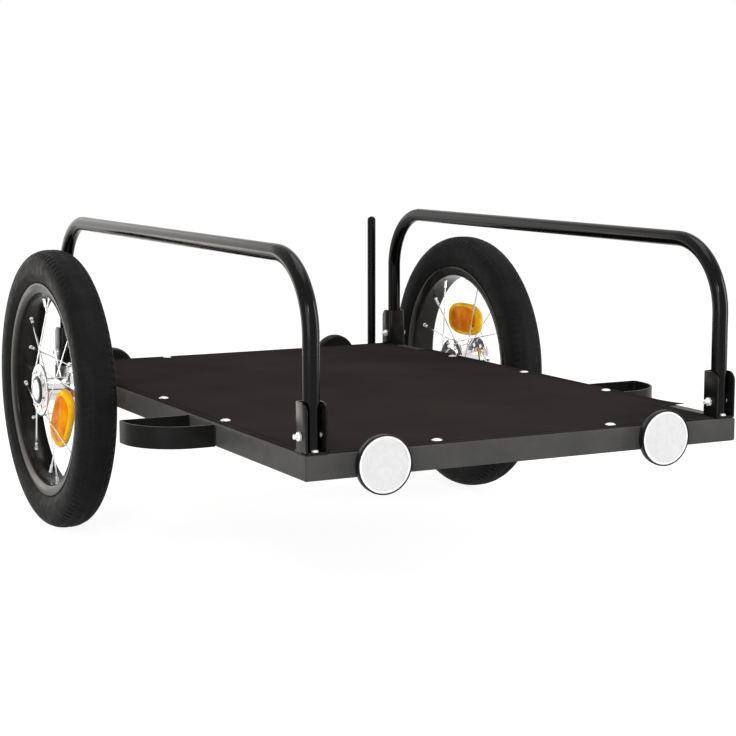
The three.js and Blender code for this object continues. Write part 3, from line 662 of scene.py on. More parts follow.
for side, sign in SIDES:
    inner, outer = sorted(abs(v.x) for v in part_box(f"{side}_side_tube"))
    wheel = WHEEL_CENTRE[side]
    place = (sign * (HALF_WIDTH - TUBE / 2), (FRONT_Y + REAR_Y) / 2, TUBE_Z)
    tube = placed(mitred_tube(FRAME_LENGTH, -sign), Matrix.Translation(place))
    tube = drilled(tube, wheel, (SOCKET_BORE + SOCKET_RADIUS) / 2)
    root = HALF_WIDTH - COLLAR_SINK
    rise = HALF_WIDTH + COLLAR_RISE
    profile = [
        (inner, SOCKET_BORE), (inner, SOCKET_RADIUS - SOCKET_EDGE), (inner + SOCKET_EDGE, SOCKET_RADIUS),
        (root, SOCKET_RADIUS), (root, COLLAR_RADIUS), (rise - SOCKET_EDGE, COLLAR_RADIUS),
        (rise, COLLAR_RADIUS - SOCKET_EDGE), (rise, SOCKET_RADIUS), (outer - SOCKET_EDGE, SOCKET_RADIUS),
        (outer, SOCKET_RADIUS - SOCKET_EDGE), (outer, SOCKET_BORE),
    ]
    socket = turned([(sign * x, r) for x, r in profile], SOCKET_STEPS)
    circle = [*turns(SOCKET_STEPS), math.tau]
    weld_ring = bead([around(sign * HALF_WIDTH, COLLAR_RADIUS + WELD / 2, a) for a in circle])
    to_axle = Matrix.Translation((0, wheel.y, wheel.z))
    tube = joined(tube, placed(socket, to_axle), placed(weld_ring, to_axle))
    make_piece(f"{side}_side_tube_painted", tube, frame_paint, f"{side}_side_tube")

cross = mitred_tube(2 * HALF_WIDTH, -1)
for end, sign in ENDS:
    place = Matrix.Translation((0, middle_of(f"{end}_cross_tube").y, TUBE_Z))
    tube = placed(cross, place @ Matrix.Rotation(sign * math.pi / 2, 4, "Z"))
    make_piece(f"{end}_cross_tube_painted", tube, frame_paint, f"{end}_cross_tube")
print("frame tubes", FRAME_LENGTH, "long")

# %% [markdown]
# The middle tube is thinner and lies a little below the cloth. Beads of weld fill the inner corners of
# the frame, where the tubes meet.

# %% Middle tube and corner welds
middle_low, middle_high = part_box("middle_cross_tube")
middle = middle_of("middle_cross_tube")
path = [(x, middle.y, middle.z) for x in (middle_low.x, middle_high.x)]
tube = swept(path, rounded_square(middle_high.z - middle_low.z))
make_piece("middle_cross_tube_painted", tube, frame_paint, "middle_cross_tube")

welds = []
for _, sign in SIDES:
    for y in (FRONT_Y + TUBE, REAR_Y - TUBE):
        welds.append(upright_bead(sign * INNER_X, y, FRAME_BOTTOM, FRAME_TOP))
    for y in (middle_low.y, middle_high.y):
        welds.append(upright_bead(sign * INNER_X, y, middle_low.z, middle_high.z))
make_piece("frame_welds", joined(*welds), frame_paint)
print("weld beads", len(welds))

# %% [markdown]
# ## Wheel guards
#
# Each guard is one flat band, bent round a large nose and a hard corner, and welded to the frame by its
# two ends. We lay the band's middle line from the CAD box and give it thickness on both sides.

# %% Wheel guards
BAND = 0.003
FOLD_SHARP = 50
GUARD_NOSE = 0.069
GUARD_CORNER = 0.006
GUARD_EDGE = 0.0006
NOSE_STEPS = 18


def guard_edge(offset, reach, back_y, length):
    """The band's edge in plan, for a guard on the +X side whose straight back runs along X at back_y."""
    nose = GUARD_NOSE + offset
    corner = GUARD_CORNER + offset
    nose_y = back_y - length + GUARD_NOSE
    edge = [(SEAM, nose_y - nose)]
    edge += arc(reach - GUARD_NOSE, nose_y, nose, -math.pi / 2, 0, NOSE_STEPS)
    edge += arc(reach - GUARD_CORNER, back_y - GUARD_CORNER, corner, 0, math.pi / 2, 8)
    edge.append((SEAM, back_y + offset))
    return edge


for side, sign in SIDES:
    low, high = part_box(f"{side}_wheel_guard")
    reach = max(abs(low.x), abs(high.x)) - HALF_WIDTH - BAND / 2
    back_y = high.y - BAND / 2
    length = high.y - low.y - BAND
    outline = guard_edge(BAND / 2, reach, back_y, length)
    outline += guard_edge(-BAND / 2, reach, back_y, length)[::-1]
    outline = [(sign * (HALF_WIDTH + x), y) for x, y in outline]
    band = raised(outline, low.z, high.z)
    guard = f"{side}_wheel_guard"
    make_piece(f"{side}_guard_band", band, guard_paint, guard, sharp=FOLD_SHARP, bevel=GUARD_EDGE)
    weld_x = sign * (HALF_WIDTH + WELD / 2)
    weld_ys = (low.y, low.y + BAND, back_y - BAND / 2, back_y + BAND / 2)
    welds = [upright_bead(weld_x, y, low.z, high.z) for y in weld_ys]
    make_piece(f"{side}_guard_welds", joined(*welds), guard_paint)
    print(guard, "stands out", round(reach, 4))

# %% [markdown]
# ## Side rails
#
# A side rail is one round tube bent twice. Its path is two straight legs, two quarter circles and the
# top bar, and a round section swept along it gives the tube.

# %% Side rails
HOOP_BEND = 0.09
HOOP_STEPS = 32
BEND_STEPS = 24

for side, _ in SIDES:
    low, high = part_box(f"{side}_hoop")
    radius = (high.x - low.x) / 2
    front = low.y + radius
    rear = high.y - radius
    top = high.z - radius
    bend_z = top - HOOP_BEND
    path = [(front, low.z), (front, bend_z - HOOP_BEND)]
    path += arc(front + HOOP_BEND, bend_z, HOOP_BEND, math.pi, math.pi / 2, BEND_STEPS)
    path += arc(rear - HOOP_BEND, bend_z, HOOP_BEND, math.pi / 2, 0, BEND_STEPS)
    path += [(rear, bend_z - HOOP_BEND), (rear, low.z)]
    path = [((low.x + high.x) / 2, y, z) for y, z in path]
    rail = swept(path, round_section(radius, HOOP_STEPS))
    make_piece(f"{side}_rail_tube", rail, rail_paint, f"{side}_hoop")
print("side rails", round(top, 4), "high at the middle of the bar")

# %% [markdown]
# ## Brackets, bolts and nuts
#
# Each leg stands in a folded channel. The channel is a strip that follows a U in plan, with a radius at
# each fold, and its free edges are cut to a round corner at the top. A bolt goes through channel and
# leg, with its head on one side and a nut on the other.

# %% Brackets
PLATE = 0.0025
FOLD = 0.0035
FOLD_STEPS = 6
CHEEK_CORNER = 0.012
PLATE_EDGE = 0.0005
BOLT_RADIUS = 0.003
BOLT_EDGE = 0.0003
BOLT_STEPS = 20
WASHER = 0.001
WASHER_SHARE = 0.6
WASHER_STEPS = 32
NUT_COLLAR = 0.0012
NUT_SHOULDER = 0.0004
THREAD_PITCH = 0.001
THREAD_ROOT = 0.86
THREAD_TIP = 0.8
SCREW = 0.0042
SCREW_SEAT = 0.62
SCREW_STEPS = 24
SCREW_HEAD = (
    (0, 0), (0, SCREW), (0.0008, SCREW), (0.0019, SCREW * 0.75), (0.0024, SCREW * 0.4), (0.0024, 0.0013),
    (0.0012, 0.0013), (0.0012, 0),
)


def channel(width, depth, height):
    """A channel open towards -Y on z = 0, as a strip without thickness, centred in plan."""
    x = width / 2 - PLATE / 2
    y = depth / 2 - PLATE / 2 - FOLD
    quarter = [math.pi / 2 * i / FOLD_STEPS for i in range(FOLD_STEPS + 1)]
    cheek = [-depth / 2 + CHEEK_CORNER * (1 - math.cos(turn)) for turn in quarter]
    path = [(-x, cheek_y) for cheek_y in cheek]
    path += arc(-x + FOLD, y, FOLD, math.pi, math.pi / 2, FOLD_STEPS)
    path += arc(x - FOLD, y, FOLD, math.pi / 2, 0, FOLD_STEPS)
    path += [(x, cheek_y) for cheek_y in cheek[::-1]]
    points = []
    for px, py in path:
        run = min(py + depth / 2, CHEEK_CORNER)
        drop = CHEEK_CORNER - math.sqrt(max(CHEEK_CORNER**2 - (CHEEK_CORNER - run) ** 2, 0))
        top = height - drop if abs(px) > x - FOLD / 2 else height
        points += [Vector((px, py, 0)), Vector((px, py, top))]
    faces = [[i, i + 2, i + 3, i + 1] for i in range(0, len(points) - 2, 2)]
    return points, faces


def hex_bar(across, start, stop):
    """A hexagonal bar along X."""
    return bar_between((start, 0, 0), (stop, 0, 0), across / 2 / math.cos(math.pi / 6), 6)


def threaded(radius, start, stop):
    """A bar along X with thread ridges."""
    count = int(abs(stop - start) / THREAD_PITCH)
    profile = [(start, 0), (start, radius * THREAD_TIP)]
    for i in range(count):
        for share, height in ((0.1, THREAD_ROOT), (0.5, 1), (0.9, THREAD_ROOT)):
            profile.append((start + (stop - start) * (i + share) / count, radius * height))
    profile += [(stop, radius * THREAD_TIP), (stop, 0)]
    return turned(profile, BOLT_STEPS)


def washer(radius, hole, thickness, start):
    edge = thickness / 4
    stop = start + thickness
    rim = [(start, radius - edge), (start + edge, radius), (stop - edge, radius), (stop, radius - edge)]
    return turned([(start, hole), *rim, (stop, hole)], WASHER_STEPS, ring=True)


for side, _ in SIDES:
    for end, end_sign in ENDS:
        name = f"{end}_{side}"
        low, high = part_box(f"{name}_bracket")
        middle = (low + high) / 2
        width, depth, height = high - low
        turn = Matrix.Rotation(0 if end_sign < 0 else math.pi, 4, "Z")
        foot = Matrix.Translation((middle.x, middle.y, low.z))
        plate = placed(channel(width, depth, height), foot @ turn)
        plate = make_piece(f"{name}_channel", plate, bracket_paint, f"{name}_bracket", sharp=FOLD_SHARP)
        thicken(plate, PLATE, 0)
        round_edges(plate, PLATE_EDGE, FOLD_SHARP, harden=False)
        outline = [(low.x, low.y), (high.x, low.y), (high.x, high.y), (low.x, high.y)]
        sole = raised(outline, low.z, low.z + PLATE)
        make_piece(f"{name}_foot", sole, bracket_paint, bevel=PLATE_EDGE)
        place = (middle.x, middle.y + end_sign * depth / 2 * SCREW_SEAT, low.z + PLATE)
        make_piece(f"{name}_foot_screw", aimed(turned(SCREW_HEAD, SCREW_STEPS), "+Z", place), zinc)

        nut_low, nut_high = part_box(f"{name}_nut")
        bolt_low, bolt_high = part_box(f"{name}_bolt")
        axis = middle_of(f"{name}_nut")
        to_axis = Matrix.Translation((0, axis.y, axis.z))
        across = nut_high.y - nut_low.y
        bolt = joined(
            hex_bar(across, high.x + WASHER, bolt_high.x),
            washer(across * WASHER_SHARE, BOLT_RADIUS, WASHER, high.x),
            turned([(low.x, BOLT_RADIUS), (high.x, BOLT_RADIUS)], BOLT_STEPS),
            threaded(BOLT_RADIUS, low.x, bolt_low.x),
        )
        bolt = placed(bolt, to_axis)
        make_piece(f"{name}_hex_bolt", bolt, zinc, f"{name}_bolt", bevel=BOLT_EDGE)
        collar = [
            (nut_low.x + NUT_COLLAR, across * 0.46), (nut_low.x + NUT_SHOULDER, across * 0.43),
            (nut_low.x, across * 0.36), (nut_low.x, BOLT_RADIUS),
        ]
        nut = joined(hex_bar(across, nut_low.x + NUT_COLLAR, nut_high.x), turned(collar, WASHER_STEPS))
        nut = placed(nut, to_axis)
        make_piece(f"{name}_lock_nut", nut, zinc, f"{name}_nut", bevel=BOLT_EDGE)

# %% [markdown]
# ## Deck cloth
#
# The cloth is one sheet, cut to the frame and stretched over it, with its corners cut away round the
# brackets. It is a grid of small squares whose heights we work out: it lies on the tubes, sinks a
# little between them, is pressed down by each stud, and carries a few slack ripples near its free
# edges. A folded hem runs round it.

# %% The sheet
cloth_low, cloth_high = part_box("deck_cloth")
CLOTH_CELL = 0.006
CLOTH_SAG = 0.0022
SAG_BY_TUBES = 0.35
CLOTH_SLACK = 0.0012
SLACK_WAVES = (5.5, 3.5)
SLACK_LAYER = 0.7
CLOTH_CREASE = 0.0005
CREASE_SKEW = ((16, 9), (-5, 13))
CREASE_LAYER = 3.1
CLOTH_DROP = 0.0003
CLOTH_THICKNESS = 0.0009
SLACK_REACH = 0.05
STUD_PRESS = 0.0006
STUD_SPREAD = 0.012
HEM_WIDTH = 0.012
HEM_RISE = 0.0007
FLAP_PULL = 0.009
FLAP_SIZE = 0.045
NOTCH_LENGTH = 0.113
LEDGE = 0.003
TUBE_CLEARANCE = 0.0004
NOTCH_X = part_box("front_right_bracket")[0].x - SEAM
LEDGE_X = NOTCH_X + LEDGE
NOTCH_FRONT = cloth_low.y + NOTCH_LENGTH
NOTCH_REAR = cloth_high.y - NOTCH_LENGTH
STEP_FRONT = FRONT_Y + TUBE + TUBE_CLEARANCE
STEP_REAR = REAR_Y - TUBE - TUBE_CLEARANCE
STUD_NODES = [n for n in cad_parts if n.endswith("_stud")]
STUDS = [middle_of(n) for n in STUD_NODES]


def grid_line(*stops):
    """Grid lines about a cell apart that fall on every stop."""
    line = []
    for start, stop in zip(stops, stops[1:]):
        count = max(round((stop - start) / CLOTH_CELL), 1)
        line += [start + (stop - start) * i / count for i in range(count)]
    return line + [stops[-1]]


def cut_away(x, y):
    """True in the notches, which clear the brackets and bare three stretches of tube beside them."""
    if not STEP_FRONT - TINY < y < STEP_REAR + TINY:
        return abs(x) > NOTCH_X + TINY
    if x < 0 and y < 0:
        return False
    beside = y < NOTCH_FRONT - TINY or y > NOTCH_REAR + TINY
    return beside and abs(x) > LEDGE_X + TINY


def edge_distance(x, y):
    """How far a point of the cloth is from the sheet's nearest edge."""
    beside = min(cloth_high.x - abs(x), cloth_high.y - y, y - cloth_low.y)
    corner_x = abs(x) - NOTCH_X
    front = STEP_FRONT if x < 0 else NOTCH_FRONT
    corner_y = max(front - y, y - NOTCH_REAR)
    if corner_x <= 0 and corner_y <= 0:
        return min(beside, math.hypot(corner_x, corner_y))
    if corner_y > 0:
        return min(beside, -corner_x)
    return min(beside, -corner_y)


def sag_shape(share):
    return 1 - (2 * share - 1) ** 2


def cloth_height(x, y):
    across = sag_shape(min(max((x + INNER_X) / (2 * INNER_X), 0), 1))
    along = 0
    for start, stop in ((FRONT_Y + TUBE, middle_low.y), (middle_high.y, REAR_Y - TUBE)):
        if start < y < stop:
            along = sag_shape((y - start) / (stop - start))
    sag = CLOTH_SAG * across * (SAG_BY_TUBES + (1 - SAG_BY_TUBES) * along)
    free = min(edge_distance(x, y) / SLACK_REACH, 1)
    waves = (x * SLACK_WAVES[0], y * SLACK_WAVES[1])
    slack = noise.noise(Vector((*waves, SLACK_LAYER))) * CLOTH_SLACK
    askew = [a * x + b * y for a, b in CREASE_SKEW]
    crease = noise.noise(Vector((*askew, CREASE_LAYER))) * CLOTH_CREASE
    pressed = 0
    for stud in STUDS:
        distance = math.hypot(x - stud.x, y - stud.y)
        pressed += STUD_PRESS * math.exp(-((distance / STUD_SPREAD) ** 2))
    return -sag + (slack + crease) * free - pressed


def flap_outward(x, y):
    """The loose corner of the sheet in front of the right guard is pulled out past the frame."""
    distance = math.hypot(x - cloth_high.x, y - NOTCH_FRONT)
    return FLAP_PULL * max(0.0, 1 - distance / FLAP_SIZE) ** 2


def make_cloth():
    xs = grid_line(cloth_low.x, -LEDGE_X, -NOTCH_X, NOTCH_X, LEDGE_X, cloth_high.x)
    ys = grid_line(cloth_low.y, STEP_FRONT, NOTCH_FRONT, NOTCH_REAR, STEP_REAR, cloth_high.y)
    lookup = {}
    points = []
    faces = []
    for j, y in enumerate(ys):
        for i, x in enumerate(xs):
            if cut_away(x, y):
                continue
            lookup[i, j] = len(points)
            hem = HEM_RISE if edge_distance(x, y) < HEM_WIDTH - TINY else 0
            z = cloth_high.z - CLOTH_DROP + cloth_height(x, y) + hem
            points.append(Vector((x + flap_outward(x, y), y, z)))
    for j in range(len(ys) - 1):
        for i in range(len(xs) - 1):
            corners = [(i, j), (i + 1, j), (i + 1, j + 1), (i, j + 1)]
            if all(c in lookup for c in corners):
                faces.append([lookup[c] for c in corners])
    return points, faces


cloth_shape = make_cloth()
cloth = make_piece("deck_sheet", cloth_shape, deck_weave, "deck_cloth", sharp=80)
thicken(cloth, CLOTH_THICKNESS, -1)
cloth_width = cloth_high.x - cloth_low.x
cloth_length = cloth_high.y - cloth_low.y
feet_length = STEP_FRONT - cloth_low.y + cloth_high.y - STEP_REAR
bare_length = NOTCH_FRONT - STEP_FRONT + 2 * (STEP_REAR - NOTCH_REAR)
CLOTH_AREA = cloth_width * cloth_length - bare_length * (cloth_high.x - LEDGE_X)
CLOTH_AREA -= 2 * feet_length * (cloth_high.x - NOTCH_X)
print("cloth points", len(cloth_shape[0]), "area", round(CLOTH_AREA, 4))

# %% [markdown]
# The hem's stitches are short raised dashes of thread, a few millimetres from the edge. They follow the
# sheet's outline, so they are laid by walking round it.

# %% Hem stitches
STITCH = 0.0032
STITCH_GAP = 0.0014
STITCH_INSET = 0.0085
STITCH_DIP = 0.0002
STITCH_START = 0.2
THREAD = 0.00035
THREAD_STEPS = 6


def hem_line():
    x = cloth_high.x - STITCH_INSET
    notch_x = NOTCH_X - STITCH_INSET
    rear = NOTCH_REAR - STITCH_INSET
    front = NOTCH_FRONT + STITCH_INSET
    step = STEP_FRONT + STITCH_INSET
    low = cloth_low.y + STITCH_INSET
    high = cloth_high.y - STITCH_INSET
    right = [(notch_x, high), (notch_x, rear), (x, rear), (x, front), (notch_x, front), (notch_x, low)]
    left = [(-notch_x, low), (-notch_x, step), (-x, step), (-x, rear), (-notch_x, rear), (-notch_x, high)]
    return [*right, *left, right[0]]


def stitch(start, stop):
    """A dash of thread that stands proud of the hem in its middle."""
    lift = cloth_high.z + HEM_RISE + STITCH_DIP / 2
    ends = [lift + cloth_height(*start), lift + cloth_height(*stop)]
    middle = ((start[0] + stop[0]) / 2, (start[1] + stop[1]) / 2)
    heights = [ends[0] - STITCH_DIP, sum(ends) / 2, ends[1] - STITCH_DIP]
    path = [(x + flap_outward(x, y), y, z) for (x, y), z in zip((start, middle, stop), heights)]
    return swept(path, round_section(THREAD, THREAD_STEPS))


stitches = []
line = hem_line()
for (ax, ay), (bx, by) in zip(line, line[1:]):
    run = math.hypot(bx - ax, by - ay)
    count = int(run / (STITCH + STITCH_GAP))
    for i in range(count):
        start = (i + STITCH_START) / count
        ends = [(ax + (bx - ax) * s, ay + (by - ay) * s) for s in (start, start + STITCH / run)]
        stitches.append(stitch(*ends))
hem = make_piece("deck_hem_stitches", joined(*stitches), hem_thread)
print("stitches", len(stitches))

# %% [markdown]
# Each stud has a domed head on a thin flange, turned from one profile of shares.

# %% Studs
DOME = [(0, 0), (0, 1), (0.22, 1), (0.3, 0.93), (0.42, 0.86), (0.68, 0.7), (0.86, 0.48), (0.97, 0.22)]
DOME.append((1, 0))
DOME_STEPS = 32

for node in STUD_NODES:
    size = size_of(node)
    rise = size.z + SEAM
    profile = [(along * rise, share * size.x / 2) for along, share in DOME]
    base = middle_of(node) - Vector((0, 0, size.z / 2 + SEAM))
    make_piece(f"{node}_head", aimed(turned(profile, DOME_STEPS), "+Z", base), zinc, node)
print("studs", len(STUD_NODES))

# %% [markdown]
# ## End reflectors
#
# A reflector is a shallow black cup with a round lens that stands a little inside its rim. The lens is
# moulded in twelve flat wedges, folded up and down by turns, inside a plain white band.

# %% End reflectors
LENS_STEPS = 72
LENS_WEDGES = 12
WEDGE_FOLD = 0.011
WEDGE_SHARP = 0.6
BAND_SHARE = 0.92
LENS_PLAY = 0.0001


def wedged(shape):
    """Folds a turned disc into flat wedges that meet in its middle."""
    points, faces = shape
    folded = []
    for p in points:
        turn = math.atan2(p.z, p.y) / math.tau * LENS_WEDGES / 2 % 1
        fold = 2 * abs(2 * turn - 1) - 1
        folded.append(Vector((p.x + fold * math.hypot(p.y, p.z) * WEDGE_FOLD, p.y, p.z)))
    return folded, faces


def lens_turned(profile, depth, ring=False):
    """A profile whose distances are shares of the reflector's depth."""
    return turned([(share * depth, radius) for share, radius in profile], LENS_STEPS, ring)


for end, end_sign in ENDS:
    for side, _ in SIDES:
        name = f"{end}_{side}_reflector"
        low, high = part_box(f"{name}_housing")
        radius = (high.z - low.z) / 2
        depth = high.y - low.y
        lens = size_of(f"{name}_lens").z / 2
        inner = lens * BAND_SHARE
        rim = lens + SEAM
        cup = [(0, 0), (0, radius * 0.9), (0.12, radius * 0.955), (0.3, radius * 0.985), (0.8, radius)]
        cup += [(0.94, radius * 0.995), (1, radius * 0.98), (1, rim + LENS_PLAY)]
        cup += [(0.92, rim), (0.78, rim), (0.78, 0)]
        band = [(0.8, inner), (0.8, lens), (0.94, lens), (0.97, lens * 0.985)]
        band += [(0.97, inner * 1.012), (0.955, inner)]
        face = [(0.84, 0), (0.84, inner - LENS_PLAY), (0.92, inner - LENS_PLAY), (0.935, 0)]
        face = wedged(lens_turned(face, depth))
        middle = (low + high) / 2
        place = ("+Y" if end_sign > 0 else "-Y", (middle.x, low.y if end_sign > 0 else high.y, middle.z))
        cup = aimed(lens_turned(cup, depth), *place)
        make_piece(f"{name}_cup", cup, black_plastic, f"{name}_housing")
        make_piece(f"{name}_face", aimed(face, *place), white_lens, f"{name}_lens", sharp=WEDGE_SHARP)
        make_piece(f"{name}_band", aimed(lens_turned(band, depth, ring=True), *place), white_band)
print("reflectors", 4)

# %% [markdown]
# ## Flag pole
#
# The pole's lower section is a plain rod with a rounded end. Its clip is a strap that follows the rod
# and has an ear with a screw on each side.

# %% Flag pole and clip
POLE_STEPS = 40
TIP_BLUNT = 0.9
STRAP = 0.002
STRAP_EDGE = 0.0004
STRAP_STEPS = 20
TIP_STEPS = 8
CLIP_SCREW = ((0, 0), (0, 0.003), (0.0008, 0.003), (0.0019, 0.0018), (0.002, 0))

pole_low, pole_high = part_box("flag_pole")
pole_radius = (pole_high.x - pole_low.x) / 2
pole_x = middle_of("flag_pole").x
pole_y = REAR_Y + SEAM + pole_radius
pole_length = pole_high.z - pole_low.z
profile = [(0, 0), (0, pole_radius * 0.85), (0.001, pole_radius)]
for i in range(TIP_STEPS):
    angle = math.pi / 2 * i / TIP_STEPS
    tip = pole_length - pole_radius * (1 - math.sin(angle)) * TIP_BLUNT
    profile.append((tip, pole_radius * math.cos(angle)))
profile.append((pole_length, 0))
pole = aimed(turned(profile, POLE_STEPS), "+Z", (pole_x, pole_y, pole_low.z))
make_piece("flag_pole_rod", pole, pole_gloss, "flag_pole")

clip_low, clip_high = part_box("flag_pole_clip")
inner = pole_radius + SEAM
outer = inner + STRAP
ear_end = (clip_high.x - clip_low.x) / 2
back = -pole_radius
front = back + STRAP
outline = [(ear_end, back), (ear_end, front), (outer, front)]
outline += arc(0, 0, outer, 0, math.pi, STRAP_STEPS)
outline += [(-outer, front), (-ear_end, front), (-ear_end, back), (-inner, back)]
outline += arc(0, 0, inner, math.pi, 0, STRAP_STEPS) + [(inner, back)]
strap = placed(raised(outline, clip_low.z, clip_high.z), Matrix.Translation((pole_x, pole_y, 0)))
make_piece("flag_pole_strap", strap, black_plastic, "flag_pole_clip", bevel=STRAP_EDGE)
screws = []
for sign in (-1, 1):
    place = (pole_x + sign * (outer + ear_end) / 2, pole_y + front, middle_of("flag_pole_clip").z)
    screws.append(aimed(turned(CLIP_SCREW, SCREW_STEPS), "+Y", place))
make_piece("flag_pole_screws", joined(*screws), zinc, slot="black_plastic")
print("flag pole", round(pole_length, 3), "long")

# %% [markdown]
# ## Wheels
#
# Both wheels are the same, turned about so that the push button faces outwards. We build each one round
# the X axis at the origin, with its outer side towards +X, and then carry it to its axle.

# %% A wheel's own frame
WHEEL_TURN = {"left": math.pi / 60, "right": -math.pi / 60}
SPOKES = 16
LIP_RADIUS = size_of("left_rim").z / 2
RIM_HALF = size_of("left_rim").x / 2
RIM_LIP = 0.003
RIM_DEPTH = 0.0125
BEAD_SEAT = LIP_RADIUS - RIM_LIP
RIM_INNER = BEAD_SEAT - RIM_DEPTH


def wheel_matrix(side):
    turn = Matrix.Rotation(math.pi if side == "left" else 0, 4, "Z")
    return Matrix.Translation(WHEEL_CENTRE[side]) @ turn


def wheel_piece(side, part, shape, finish, node=None, body="wheel", **more):
    """Makes a piece whose shape was built in the wheel's own frame."""
    body = "frame" if body == "frame" else f"{side}_{body}"
    node = f"{side}_{node}" if node else None
    return make_piece(f"{side}_{part}", placed(shape, wheel_matrix(side)), finish, node, body, **more)


def axle_reach(side, node):
    """The nearer and the farther end of a node along the axle, from the wheel's middle plane."""
    return sorted(abs(v.x - WHEEL_CENTRE[side].x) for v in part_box(f"{side}_{node}"))


print("rim", LIP_RADIUS, "tyre", TYRE_RADIUS)

# %% [markdown]
# ### Tyre
#
# The tyre's section is a squarish ring that is widest half way up. The tread is made in the mesh: a
# fine slanted pattern over the crown, and a row of square blocks on each shoulder that catch the
# light. Where a groove runs, the surface sinks. Two fine ribs go round each smooth sidewall.

# %% Tyre
TREAD_TURNS = 660
SECTION_STEPS = 76
GROOVE = 0.0014
RIB = 0.0003
RIB_PITCH = 0.0055
BLOCKS = 110
BLOCK_INNER = 0.0155
BLOCK_OUTER = 0.0238
BLOCK_GAP = 0.3
BLOCK_GROOVE = 0.0018
RING_DEPTH = 0.8
CROWN_DEPTH = 0.6
CROWN_GAP = 0.4
CROWN_PER_BLOCK = 2
CENTRE_GROOVE = 0.0008
SLANT = 160
SQUARENESS = 0.8
FOOT_ANGLE = 0.78
FOOT_INSET = 0.0021
TYRE_WALL = 0.0036
HOLLOW_HALF = 0.0235
SHOULDER = (0.017, TYRE_RADIUS - 0.009)
BELLY_RADIUS = BEAD_SEAT + (TYRE_RADIUS - BEAD_SEAT) * 0.5


def tyre_section(share):
    """The outer section from one bead, over the crown, to the other, for share 0 to 1."""
    angle = -FOOT_ANGLE + (math.pi + 2 * FOOT_ANGLE) * share
    cos, sin = math.cos(angle), math.sin(angle)
    power = SQUARENESS if sin > 0 else 1.0
    height = TYRE_RADIUS - BELLY_RADIUS
    if sin < 0:
        height = (BELLY_RADIUS - LIP_RADIUS) / math.sin(FOOT_ANGLE)
    along = TYRE_HALF * math.copysign(abs(cos) ** power, cos)
    return along, BELLY_RADIUS + height * math.copysign(abs(sin) ** power, sin)


def groove_depth(along, angle):
    """0 on the rubber's surface and 1 at the bottom of the deepest grooves."""
    across = abs(along)
    place = angle / math.tau * BLOCKS
    if across > BLOCK_OUTER:
        return 0.0
    if across > BLOCK_INNER:
        return 1.0 if place % 1 < BLOCK_GAP else 0.0
    if across > BLOCK_INNER - BLOCK_GROOVE:
        return RING_DEPTH
    if across < CENTRE_GROOVE:
        return CROWN_DEPTH
    offset = 0.5 if along > 0 else 0
    row = place * CROWN_PER_BLOCK + offset + across * SLANT
    return CROWN_DEPTH if row % 1 < CROWN_GAP else 0.0


def make_tyre():
    outer = [tyre_section(i / SECTION_STEPS) for i in range(SECTION_STEPS + 1)]
    foot = RIM_HALF - FOOT_INSET
    seat = BEAD_SEAT + SEAM
    inside = [(foot, LIP_RADIUS), (foot, seat), (foot - TYRE_WALL, seat)]
    inside += [(HOLLOW_HALF, BELLY_RADIUS), SHOULDER]
    section = outer + mirrored(inside) + [(0, TYRE_RADIUS - TYRE_WALL)] + inside[::-1]
    count = len(section)
    points = []
    faces = []
    for i, angle in enumerate(turns(TREAD_TURNS)):
        for k, (along, radius) in enumerate(section):
            if k <= SECTION_STEPS and radius > BELLY_RADIUS:
                radius -= GROOVE * groove_depth(along, angle)
            if k <= SECTION_STEPS and radius < BELLY_RADIUS:
                ripple = math.sin((radius - LIP_RADIUS) / RIB_PITCH * math.pi)
                along += math.copysign(RIB * max(ripple, 0), along)
            points.append(around(along, radius, angle))
        here = i * count
        there = (i + 1) % TREAD_TURNS * count
        for k in range(count):
            m = (k + 1) % count
            faces.append([here + k, there + k, there + m, here + m])
    return points, faces


tyre_shape = make_tyre()
for side, _ in SIDES:
    wheel_piece(side, "tyre_treaded", tyre_shape, tyre_rubber, "tyre", sharp=32)
    dress_node(f"{side}_inner_tube", tube_rubber)
print("tyre points", len(tyre_shape[0]))

# %% [markdown]
# ### Rim and nipples
#
# The rim is a glossy black hoop: a flat inner face, sloping side walls and two rolled lips. A plated
# nipple stands out of it for each spoke.

# %% Rim and spoke lines
FLANGE_AT = 0.024
FLANGE_THICK = 0.003
SPOKE_CIRCLE = 0.032
SPOKE_RADIUS = 0.00105
SPOKE_SEAT = 0.0018
NIPPLE_LENGTH = 0.013
NIPPLE_STAGGER = 0.003
NIPPLE_COLLAR = 0.003
COLLAR_THICK = 0.0029
NIPPLE_THICK = 0.0021
RIM_STEPS = 144
RIM_WALL = 0.0018
RIM_FLAT = 0.015
RIM_SLOPE = 0.003
RIM_WELL = 0.003


def spoke_lines(turn):
    """Hub end and rim end of each spoke. Flanges alternate, and neighbours on a flange cross."""
    lines = []
    for i, angle in enumerate(turns(SPOKES)):
        flange = -1 if i % 2 else 1
        lean = 1 if i % 4 < 2 else -1
        hub_x = flange * FLANGE_AT + lean * (FLANGE_THICK / 2 + SPOKE_RADIUS)
        hub = around(hub_x, SPOKE_CIRCLE, turn + angle + lean * math.pi / 2)
        rim = around(flange * NIPPLE_STAGGER, RIM_INNER + SPOKE_SEAT, turn + angle)
        lines.append((hub, rim, lean, flange))
    return lines


